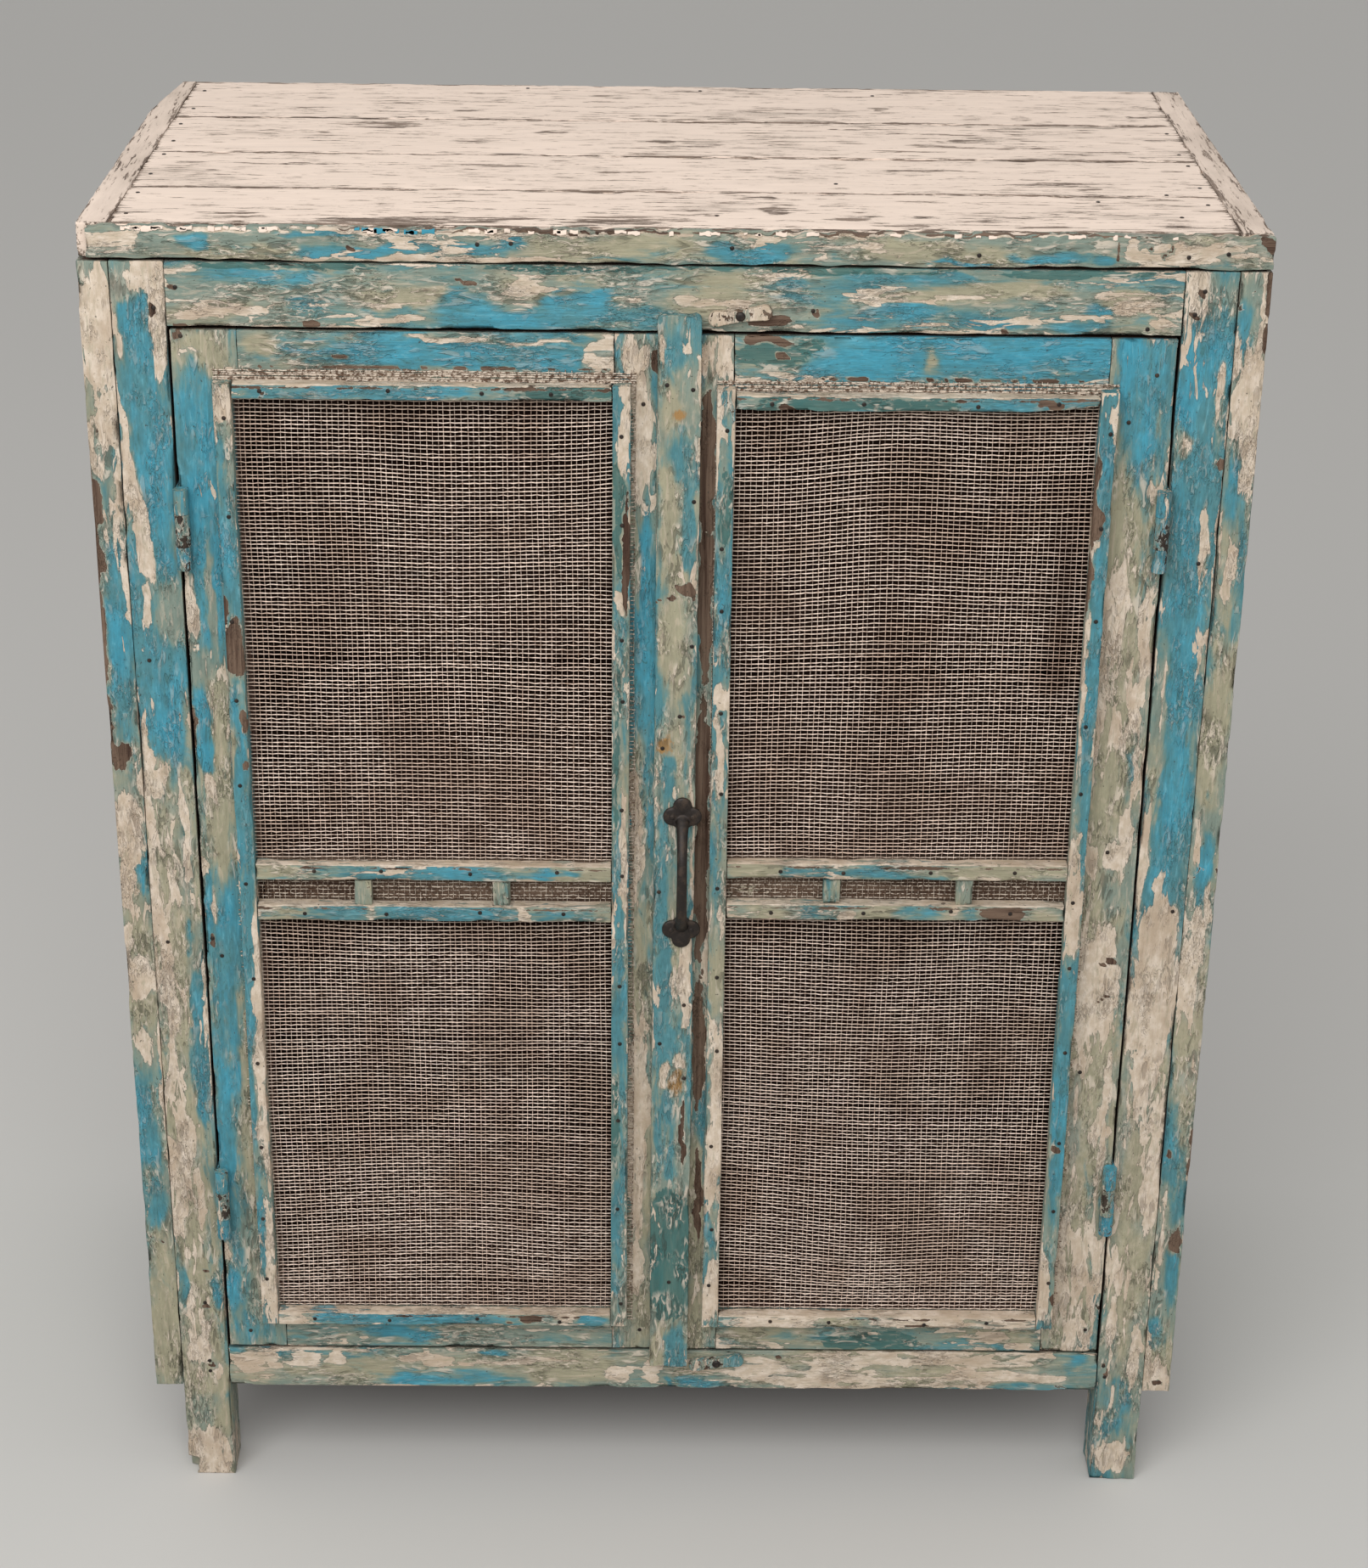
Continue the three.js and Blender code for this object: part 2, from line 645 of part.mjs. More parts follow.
function hinge(name, side, z) {
  const axisU = openingHalf - doorHingeGap / 2 - axisInset;
  const low = z - hingeHeight / 2;
  const high = z + hingeHeight / 2;
  const middleHigh = high - upperKnuckle;
  const middleLow = middleHigh - middleKnuckle;
  const leafBack = leafWear + leafWidth;
  const leaf = (u0) => {
    const [x0, x1] = span(side, u0, u0 + leafThickness);
    return {
      plate: block(x0, x1, leafWear, leafBack, low, high),
      neck: (z0, z1) => block(x0, x1, -axisForward, leafWear + leafThickness, z0, z1),
    };
  };
  const knuckle = (z0, z1) => barAlongZ(knuckleRadius, side * axisU, -axisForward, z0, z1);
  const frameLeaf = leaf(openingHalf - leafThickness);
  const fixed = joined([
    frameLeaf.plate, frameLeaf.neck(middleHigh, high), frameLeaf.neck(low, middleLow),
    knuckle(middleHigh, high), knuckle(low, middleLow),
    barAlongZ(pinRadius, side * axisU, -axisForward, low, high),
  ]);
  const doorLeaf = leaf(doorOuter);
  const z0 = middleLow + knuckleGap;
  const z1 = middleHigh - knuckleGap;
  const bore = barAlongZ(pinRadius + pinClearance, side * axisU, -axisForward, z0 - cutOverrun, z1 + cutOverrun);
  const moving = joined([doorLeaf.plate, doorLeaf.neck(z0, z1), knuckle(z0, z1)]).subtract(solid(bore));
  return [
    piece(`${name}_frame_leaf`, geometryOf(fixed), 'rustyIron'),
    piece(`${name}_door_leaf`, geometryOf(moving), 'rustyIron'),
  ];
}

function door(which) {
  const habit = doorHabits[which];
  const group = new THREE.Group();
  group.add(doorFrame(which, habit), net(which, habit), beads(which, habit), midBattens(which, habit));
  group.add(...hinge(`${which}_upper_hinge`, habit.side, doorHigh - habit.upperHingeDrop));
  group.add(...hinge(`${which}_lower_hinge`, habit.side, doorLow + habit.lowerHingeRise));
  return group;
}

// The case is set back so that the footprint, pull included, is centred on the origin
const frontReach = rightDoorProud + stripThickness + pullReach;
const cupboard = new THREE.Group();
cupboard.add(posts(), frontRails(), sides(), backPanel(), inside(), topPlanks(), topEdges());
cupboard.add(door('left'), door('right'), coverStrip(), pullHandle());
cupboard.add(turnButton('top_turn_button', topButton, 'whitewash'));
cupboard.add(turnButton('bottom_turn_button', bottomButton, 'sage'));
cupboard.position.y = (frontReach - cupboardDepth) / 2;

export default cupboard;
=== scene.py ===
"""Paint, worn boards, netting and ironwork of a two-door jelly cupboard, built around its frame.

Metres, +Z up, front towards -Y. Places on the front and on the top are written in
millimetres: across from the middle of the cupboard, up from the floor, and back from
the front of the case.
"""

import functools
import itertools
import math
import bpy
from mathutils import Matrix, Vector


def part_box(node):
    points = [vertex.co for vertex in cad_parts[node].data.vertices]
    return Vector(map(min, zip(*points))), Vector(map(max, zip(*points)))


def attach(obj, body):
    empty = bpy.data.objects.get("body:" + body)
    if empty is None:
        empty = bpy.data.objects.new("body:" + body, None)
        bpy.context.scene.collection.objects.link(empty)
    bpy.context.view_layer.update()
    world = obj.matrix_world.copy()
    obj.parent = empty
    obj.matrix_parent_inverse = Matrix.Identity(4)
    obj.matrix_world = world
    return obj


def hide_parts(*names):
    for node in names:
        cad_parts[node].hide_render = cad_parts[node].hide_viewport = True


bl_info = {
    "name": "Jelly cupboard",
    "version": (1, 0, 0),
    "blender": (4, 5, 0),
    "location": "View3D > Sidebar > Cupboard",
    "description": "Dresses the frame of a jelly cupboard in worn boards, flaking paint and netting",
    "category": "Add Mesh",
}

import zlib

import bmesh
import bpy
import numpy as np
from mathutils import Matrix, Vector

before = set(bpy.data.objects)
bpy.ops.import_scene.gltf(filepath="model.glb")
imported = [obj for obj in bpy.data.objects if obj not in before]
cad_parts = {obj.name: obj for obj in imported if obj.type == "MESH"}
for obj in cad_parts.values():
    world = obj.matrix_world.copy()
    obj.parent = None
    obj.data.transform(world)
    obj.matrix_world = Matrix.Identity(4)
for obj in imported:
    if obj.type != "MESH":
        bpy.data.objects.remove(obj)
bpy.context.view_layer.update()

X, Y, Z = range(3)
MM = 0.001
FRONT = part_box("front_left_post")[0].y
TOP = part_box("top_board_1")[1].z
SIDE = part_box("right_side")[1].x


def srgb(code):
    """The linear colour of a six-digit screen colour."""
    parts = [int(code[i:i + 2], 16) / 255 for i in (0, 2, 4)]
    return tuple(p / 12.92 if p <= 0.04045 else ((p + 0.055) / 1.055) ** 2.4 for p in parts)


# Marks of paint and wear on the front, and a row of painted shade under the lath, by board and coat:
# across, up, half width and half height of each mark. A later coat covers an earlier one where they meet.

FRONT_MARKS = {
    "left_side": {
        "turquoise": [(-486, 975, 8, 22), (-485, 880, 12, 85), (-478, 670, 5, 26), (-484, 530, 6, 22),
                      (-494, 420, 8, 32), (-492, 375, 9, 25), (-486, 310, 8, 25), (-485, 225, 7, 36)],
        "khaki": [(-487, 560, 14, 60), (-487, 190, 14, 80)],
        "cream": [(-487, 1185, 15, 58), (-480, 1100, 8, 24), (-497, 1075, 4, 30), (-488, 720, 14, 44),
                  (-493, 660, 6, 30), (-485, 562, 12, 24), (-487, 490, 7, 26)],
        "bare": [(-500, 935, 5, 150), (-490, 790, 7, 11), (-487, 268, 14, 1.6)],
    },
    "front_left_post": {
        "khaki": [(-450, 700, 22, 95), (-450, 330, 22, 240), (-450, 925, 20, 30)],
        "faint": [(-450, 1060, 24, 180), (-450, 860, 24, 84), (-438, 470, 8, 80)],
        "turquoise": [(-455, 1198, 14, 24), (-449, 1120, 22, 72), (-440, 1040, 16, 62),
                      (-442, 985, 12, 40), (-471, 880, 3, 90), (-450, 865, 24, 74), (-447, 597, 7, 11),
                      (-441, 615, 5, 14), (-440, 525, 8, 28), (-436, 450, 5, 38), (-466, 210, 4, 32),
                      (-434, 215, 4, 14)],
        "sage": [(-440, 925, 14, 26), (-452, 700, 11, 58), (-450, 82, 20, 16)],
        "slivers": [(-457, 620, 13, 150), (-454, 350, 17, 84), (-455, 165, 15, 50)],
        "cream": [(-450, 1226, 22, 16), (-434, 1185, 5, 52), (-470, 1195, 4, 34), (-468, 1090, 4, 30),
                  (-465, 1050, 6, 30), (-460, 1008, 8, 30), (-457, 970, 7, 32), (-460, 932, 4, 16),
                  (-469, 730, 5, 110), (-457, 762, 8, 20), (-437, 705, 4, 72), (-463, 560, 6, 66),
                  (-464, 478, 4, 42), (-455, 388, 12, 16), (-463, 320, 4, 56), (-444, 320, 3, 40),
                  (-455, 152, 12, 12), (-440, 128, 6, 12), (-452, 30, 24, 34)],
        "bare": [(-448, 204, 5, 5), (-441, 243, 5, 1.6), (-437, 1201, 4, 3), (-446, 135, 3, 2.4)],
    },
    "front_top_rail": {
        "faint": [(-260, 1218, 160, 20), (-60, 1215, 60, 16), (170, 1196, 80, 10), (330, 1196, 70, 10)],
        "slivers": [(-125, 1218, 24, 12), (36, 1208, 46, 11), (215, 1216, 70, 7), (384, 1211, 18, 10),
                    (-225, 1210, 54, 8), (-385, 1198, 34, 7)],
        "dull": [(-345, 1229, 74, 9), (-300, 1208, 22, 16), (200, 1232, 52, 4), (145, 1196, 36, 9),
                 (-30, 1196, 20, 8)],
        "turquoise": [(-175, 1204, 26, 18), (-135, 1192, 60, 7), (-85, 1207, 30, 16), (192, 1204, 26, 8),
                      (270, 1193, 30, 5), (355, 1203, 12, 11), (335, 1190, 20, 5)],
        # Painted shade: the teal row along the rail's upper edge is the shadow under the lath
        "teal": [(-330, 1237, 90, 4), (-80, 1237, 90, 4), (120, 1237, 120, 4), (330, 1237, 100, 4)],
        "khaki": [(265, 1224, 50, 6), (60, 1228, 50, 8)],
        "cream": [(-412, 1233, 16, 3), (-398, 1194, 22, 4), (-235, 1193, 20, 2), (-125, 1223, 11, 7),
                  (-122, 1206, 12, 2), (-38, 1210, 18, 2), (8, 1212, 9, 5), (60, 1208, 14, 5),
                  (170, 1221, 36, 2), (190, 1211, 30, 2), (350, 1201, 24, 2), (414, 1192, 9, 4)],
        "bare": [(-305, 1187, 7, 4), (-419, 1186, 5, 3), (-418, 1218, 4, 2), (78, 1194, 14, 4),
                 (116, 1203, 3, 3), (-170, 1227, 16, 1.6), (282, 1187, 8, 2)],
    },
    "front_bottom_rail": {
        "turquoise": [(-252, 117, 32, 12), (-190, 119, 66, 12), (-170, 146, 24, 4), (36, 117, 24, 11),
                      (6, 122, 3, 18), (260, 127, 14, 7), (352, 119, 9, 9), (110, 114, 16, 4),
                      (400, 138, 9, 13), (205, 137, 26, 2), (300, 135, 26, 3)],
        "khaki": [(-100, 131, 50, 16), (-330, 130, 40, 18)],
        "slivers": [(200, 130, 180, 22)],
        "cream": [(-400, 128, 24, 18), (-355, 138, 20, 10), (-320, 141, 16, 8), (-180, 134, 60, 2.6),
                  (-236, 140, 26, 6), (-120, 140, 40, 3), (-46, 122, 12, 12), (-14, 130, 10, 16),
                  (95, 130, 26, 12), (160, 126, 30, 14), (230, 142, 60, 5), (320, 122, 50, 7),
                  (380, 118, 30, 5)],
        "bare": [(118, 147, 6, 2), (172, 121, 1.4, 7)],
    },
    "front_right_post": {
        "faint": [(445, 1000, 20, 200), (445, 740, 20, 130), (440, 320, 12, 70), (448, 230, 18, 60),
                  (449, 76, 14, 26)],
        "turquoise": [(449, 1172, 22, 46), (442, 1128, 14, 38), (450, 1042, 20, 54), (451, 930, 17, 66),
                      (453, 862, 16, 46), (454, 765, 14, 58), (447, 665, 11, 40)],
        "sage": [(434, 800, 7, 90), (448, 1220, 26, 20)],
        "slivers": [(450, 350, 26, 220)],
        "dull": [(450, 100, 20, 20), (446, 62, 12, 12)],
        "cream": [(463, 1140, 2.4, 34), (440, 1087, 7, 8), (462, 1002, 4, 40), (437, 850, 2.4, 44),
                  (432, 692, 5, 60), (462, 620, 7, 24), (450, 566, 22, 90), (444, 470, 6, 50),
                  (435, 400, 4, 50), (463, 340, 4, 60), (438, 190, 5, 30), (463, 150, 6, 44),
                  (449, 26, 19, 19)],
        "bare": [(444, 1222, 3, 4), (437, 1203, 4, 3), (468, 1078, 4, 7), (433, 136, 3, 3),
                 (435, 124, 2.4, 4)],
    },
    "right_side": {
        "turquoise": [(481, 1185, 8, 42), (482, 1060, 9, 42), (480, 900, 8, 66), (485, 805, 9, 6),
                      (487, 753, 5, 8), (488, 680, 8, 42), (482, 405, 9, 44), (492, 240, 6, 36),
                      (483, 180, 8, 26)],
        "khaki": [(487, 850, 12, 90), (487, 130, 12, 30)],
        "slivers": [(487, 520, 14, 120), (487, 120, 12, 30)],
        "cream": [(496, 1180, 4, 60), (488, 1125, 13, 44), (495, 1075, 6, 30), (484, 970, 5, 32),
                  (478, 712, 4, 34), (494, 620, 5, 40), (485, 570, 9, 50), (476, 300, 3, 60),
                  (490, 470, 8, 20)],
        "bare": [(500, 1200, 2.4, 40), (476, 386, 4, 5), (493, 285, 9, 12), (500, 370, 4, 36),
                 (485, 114, 4, 4)],
    },
    "left_door_hinge_stile": {
        "khaki": [(-400, 1166, 24, 14), (-392, 1150, 14, 12), (-402, 822, 13, 48), (-404, 730, 18, 50),
                  (-385, 400, 14, 200)],
        "dull": [(-405, 612, 12, 42), (-417, 530, 9, 42), (-411, 470, 13, 56), (-414, 400, 11, 60),
                 (-405, 175, 20, 18), (-404, 1104, 18, 38)],
        "turquoise": [(-400, 1000, 22, 74), (-401, 925, 19, 50), (-416, 830, 8, 42), (-414, 792, 7, 20),
                      (-420, 640, 5, 30), (-416, 440, 6, 40), (-418, 217, 7, 24)],
        "sage": [(-403, 940, 3, 60), (-392, 250, 10, 60)],
        "cream": [(-421, 935, 5, 28), (-414, 760, 4, 13), (-422, 681, 6, 7), (-417, 636, 2, 26),
                  (-420, 262, 8, 11), (-410, 1158, 12, 3), (-376, 1140, 6, 12)],
        "bare": [(-420, 1178, 5, 4), (-419, 604, 3, 3), (-424, 820, 2, 26)],
    },
    "left_door_top_rail": {
        "dull": [(-310, 1163, 56, 15), (-110, 1163, 56, 17)],
        "turquoise": [(-235, 1163, 50, 14), (-185, 1162, 46, 14)],
        "khaki": [(-355, 1172, 16, 9)],
        "cream": [(-190, 1176, 46, 2.4), (-62, 1160, 12, 22), (-110, 1173, 40, 2), (-210, 1143, 170, 4)],
        "bare": [(-282, 1160, 7, 1.6), (-215, 1149, 160, 1.2)],
    },
    "left_door_meeting_stile": {
        "turquoise": [(-22, 930, 7, 92), (-44, 700, 6, 300)],
        "khaki": [(-28, 590, 10, 60), (-28, 300, 12, 110)],
        "cream": [(-27, 1090, 9, 62), (-32, 1160, 16, 20), (-31, 700, 7, 92), (-28, 400, 10, 150),
                  (-26, 250, 8, 40)],
        "bare": [(-15, 1152, 4, 12)],
    },
    "right_door_meeting_stile": {
        "cream": [(34, 1160, 12, 22)],
        "khaki": [(29, 270, 9, 110)],
        "bare": [(29, 1010, 8, 130), (29, 730, 8, 150), (29, 500, 7, 80), (31, 330, 3, 60)],
    },
    "right_door_top_rail": {
        "teal": [(110, 1165, 62, 16)],
        "turquoise": [(175, 1162, 56, 24), (292, 1164, 96, 30), (140, 1152, 40, 12)],
        "khaki": [(212, 1163, 9, 10)],
        "bare": [(74, 1177, 22, 5), (90, 1166, 5, 3), (230, 1143, 130, 0.9)],
    },
    "right_door_hinge_stile": {
        "faint": [(395, 1110, 24, 80), (388, 960, 8, 100), (408, 830, 10, 60), (398, 262, 10, 40),
                  (400, 195, 20, 36)],
        "turquoise": [(386, 1150, 14, 40), (397, 1100, 13, 40), (410, 1150, 8, 32), (389, 1000, 2.4, 44),
                      (389, 900, 3, 30), (408, 785, 8, 40)],
        "khaki": [(395, 960, 24, 110), (395, 780, 20, 70), (392, 640, 16, 40)],
        "slivers": [(398, 700, 20, 40), (395, 440, 28, 200), (395, 240, 26, 80), (392, 880, 20, 110)],
        "cream": [(416, 895, 6, 76), (417, 815, 3, 56), (380, 818, 3, 62), (414, 722, 6, 36),
                  (402, 690, 8, 18), (398, 560, 20, 56), (386, 420, 5, 80), (414, 420, 4, 70),
                  (381, 250, 4, 60), (417, 210, 3, 60)],
        "sage": [(402, 655, 12, 24)],
        "bare": [(408, 592, 10, 1.6), (406, 552, 9, 1.2)],
    },
    "left_door_bottom_rail": {
        "cream": [(-322, 160, 14, 3), (-292, 164, 8, 3), (-210, 158, 16, 2), (-150, 160, 12, 2),
                  (-375, 172, 6, 8)],
        "turquoise": [(-250, 170, 40, 8)],
    },
    "right_door_bottom_rail": {
        "khaki": [(90, 168, 36, 14), (330, 168, 36, 14)],
        "teal": [(205, 165, 60, 10)],
        "cream": [(320, 172, 18, 5), (345, 160, 16, 4), (110, 160, 16, 2), (200, 170, 14, 1.6)],
    },
    "cover_strip": {
        "faint": [(0, 1130, 24, 70), (0, 900, 24, 200), (0, 600, 24, 160)],
        "khaki": [(-2, 1110, 9, 24), (-3, 1040, 7, 40), (5, 975, 12, 28), (4, 905, 11, 50),
                  (4, 790, 9, 34), (7, 600, 9, 46), (-9, 160, 10, 34)],
        "turquoise": [(4, 1175, 10, 16), (7, 1075, 13, 28), (14, 1015, 8, 46), (-13, 890, 3, 70),
                      (19, 880, 3, 44), (0, 780, 7, 36), (-8, 700, 6, 66), (-5, 560, 8, 84),
                      (5, 500, 6, 28), (0, 405, 9, 40), (13, 155, 9, 40)],
        "teal": [(1, 262, 34, 84)],
        "sage": [(-13, 185, 5, 34)],
        "cream": [(-9, 1176, 3, 15), (21, 1150, 3, 22), (5, 966, 2, 6), (21, 720, 2, 150),
                  (17, 560, 4, 44), (-3, 470, 5, 12), (9, 475, 6, 18)],
        "ochre": [(3, 1112, 10, 12), (-4, 815, 11, 15), (7, 463, 9, 13)],
        "bare": [(12, 949, 11, 7), (-5, 939, 10, 1.6), (8, 834, 4, 3), (15, 410, 2.4, 36)],
    },
    "left_door_hinge_bead": {
        "turquoise": [(-383, 1010, 9, 92), (-385, 842, 4, 16), (-381, 800, 4, 36), (-384, 730, 8, 40),
                      (-386, 600, 6, 60), (-388, 470, 4, 66), (-385, 300, 6, 46)],
        "khaki": [(-389, 795, 3, 34)],
        "cream": [(-382, 1126, 8, 12), (-377, 560, 4, 110), (-379, 440, 6, 92), (-378, 260, 4, 60)],
        "bare": [(-391, 950, 3, 38), (-382, 893, 10, 26), (-377, 830, 3, 14), (-377, 790, 2, 8)],
    },
    "left_door_meeting_bead": {
        "dull": [(-44, 760, 9, 180), (-46, 400, 8, 180)],
        "teal": [(-46, 1020, 8, 60), (-48, 800, 4, 90), (-48, 420, 4, 60)],
        "cream": [(-42, 1100, 5, 40), (-44, 945, 6, 8), (-40, 700, 3, 90)],
        "bare": [(-40, 992, 4, 56)],
    },
    "left_door_top_bead": {
        "turquoise": [(-235, 1132, 100, 9)],
        "teal": [(-90, 1132, 40, 9)],
    },
    "left_door_bottom_bead": {
        "turquoise": [(-245, 197, 100, 8), (-75, 197, 18, 8)],
        "cream": [(-362, 197, 18, 8), (-100, 197, 16, 6)],
        "bare": [(-128, 197, 8, 4), (-146, 195, 4, 3)],
    },
    "right_door_hinge_bead": {
        "turquoise": [(369, 1090, 8, 52), (370, 890, 7, 130), (370, 430, 8, 132)],
        "cream": [(363, 900, 2, 130), (366, 690, 6, 40), (370, 632, 7, 34), (366, 240, 6, 44)],
        "bare": [(365, 1022, 8, 11), (362, 1042, 3, 38), (362, 965, 3, 34), (366, 396, 4, 7),
                 (377, 226, 3, 10)],
    },
    "right_door_meeting_bead": {
        "dull": [(43, 900, 9, 190), (42, 310, 5, 26)],
        "teal": [(46, 1040, 6, 40)],
        "khaki": [(44, 560, 8, 60)],
        "cream": [(44, 1096, 5, 8), (46, 862, 5, 14), (42, 800, 3, 40), (46, 430, 7, 110),
                  (46, 230, 6, 30)],
    },
    "right_door_top_bead": {
        "teal": [(110, 1126, 60, 9), (200, 1126, 40, 8)],
        "turquoise": [(270, 1126, 40, 8)],
        "bare": [(95, 1124, 10, 4), (318, 1127, 8, 4)],
    },
    "left_door_upper_batten": {
        "khaki": [(-355, 680, 20, 9), (-72, 680, 26, 9)],
        "dull": [(-270, 680, 60, 10), (-125, 680, 36, 10)],
        "turquoise": [(-185, 680, 48, 9), (-113, 678, 16, 6)],
    },
    "left_door_lower_batten": {
        "khaki": [(-350, 638, 24, 9)],
        "dull": [(-295, 638, 18, 9), (-208, 639, 60, 9), (-92, 638, 40, 9)],
        "turquoise": [(-208, 640, 40, 8)],
        "cream": [(-270, 640, 6, 9), (-139, 640, 6, 9)],
    },
    "right_door_upper_batten": {
        "khaki": [(290, 685, 60, 10), (80, 685, 26, 10)],
        "dull": [(130, 684, 26, 8), (185, 684, 30, 6)],
    },
    "right_door_lower_batten": {
        "khaki": [(90, 643, 24, 9), (200, 643, 24, 9), (340, 643, 20, 9)],
        "dull": [(230, 643, 24, 9), (132, 643, 12, 8), (281, 643, 10, 7)],
        "cream": [(160, 643, 9, 5), (264, 643, 6, 7)],
        "bare": [(303, 643, 15, 7)],
    },
    "right_door_bottom_bead": {
        "khaki": [(170, 197, 30, 6)],
        "cream": [(110, 197, 44, 8), (250, 197, 60, 8), (330, 197, 30, 8)],
        "bare": [(245, 192, 10, 2)],
    },
}

# Dark worn streaks on the top: across, back, half width and half depth of each

TOP_STREAKS = [
    (-270, 375, 40, 14), (-337, 345, 14, 4), (-345, 402, 24, 2.6), (-255, 408, 18, 3),
    (-110, 378, 22, 5), (-112, 350, 14, 8), (-15, 320, 12, 6), (-75, 303, 22, 2), (240, 312, 30, 8),
    (275, 333, 25, 5), (310, 305, 42, 3), (405, 295, 26, 4), (225, 289, 40, 2), (230, 219, 50, 4),
    (330, 173, 36, 8), (362, 155, 12, 5), (445, 226, 12, 6), (-440, 220, 18, 5), (-345, 222, 62, 3),
    (-165, 222, 36, 5), (-50, 203, 30, 3), (210, 102, 26, 4), (75, 113, 14, 5), (80, 70, 18, 16),
    (152, 52, 20, 14), (-35, 36, 60, 12), (-230, 26, 80, 12), (-170, 36, 64, 7), (-385, 44, 30, 4),
    (-360, 34, 26, 3), (330, 428, 12, 8), (350, 411, 16, 4), (440, 405, 32, 3), (450, 440, 26, 4),
    (200, 463, 10, 12), (142, 460, 9, 4), (-345, 485, 15, 4), (-80, 412, 24, 3), (110, 90, 40, 3),
    (-20, 97, 22, 2), (300, 190, 60, 2), (240, 360, 40, 3), (160, 374, 30, 2), (-150, 265, 18, 2),
    (-200, 440, 30, 2), (20, 400, 50, 2), (30, 52, 4, 4), (100, 38, 22, 2), (190, 22, 26, 4),
    (320, 25, 30, 3), (430, 30, 36, 4)
]
LATH_MARKS = {
    "khaki": [(-350, 1247, 60, 6), (-60, 1252, 80, 10), (210, 1252, 60, 9)],
    "turquoise": [(-410, 1259, 18, 8), (-300, 1263, 28, 4), (-272, 1248, 38, 6), (-225, 1251, 30, 6),
                  (-168, 1252, 24, 7), (-138, 1257, 14, 6), (60, 1251, 26, 9), (308, 1248, 26, 6),
                  (346, 1246, 12, 5), (240, 1244, 40, 3)],
    "cream": [(-472, 1254, 20, 11), (-230, 1267, 200, 2), (100, 1268, 260, 1.6), (-200, 1242, 120, 2.4),
              (430, 1254, 64, 12), (376, 1262, 12, 8)],
    "bare": [(490, 1261, 11, 8), (500, 1246, 4, 8), (-118, 1267, 18, 2), (358, 1256, 1.6, 12),
             (405, 1254, 1.6, 9), (-280, 1252, 7, 1.6), (60, 1269, 400, 0.8)],
}

# Nails on the front by carrier: across and up
FRONT_NAILS = {
    "case": [(-165, 1257), (-137, 1258), (47, 1256), (253, 1252), (428, 1252), (461, 1255), (116, 1203),
             (444, 1223), (437, 1203), (-437, 1200), (-446, 136), (-446, 124), (433, 137), (435, 124),
             (-418, 1218), (398, 1190), (-460, 880), (462, 640), (-460, 600), (458, 980)],
    "left_door": [(-419, 604), (-411, 586), (-447, 204), (-26, 1120), (-416, 1176), (-24, 176),
                  (-404, 172)],
    "right_door": [(388, 1108), (409, 1150), (398, 700), (388, 470), (412, 180)],
    "cover_strip": [(-6, 1141), (16, 1137), (18, 1037), (18, 903), (8, 836), (-7, 805), (15, 545),
                    (-7, 504), (16, 467), (-9, 662), (4, 240)],
}
TOP_NAILS = [
    (-460, 512), (-460, 434), (-463, 370), (-460, 302), (-461, 250), (-462, 177), (-463, 111),
    (-462, 40), (462, 371), (461, 287), (463, 245), (461, 164), (459, 105), (-145, 538), (25, 534),
    (194, 520), (141, 166), (428, 138), (35, 52), (365, 112), (430, 62)
]


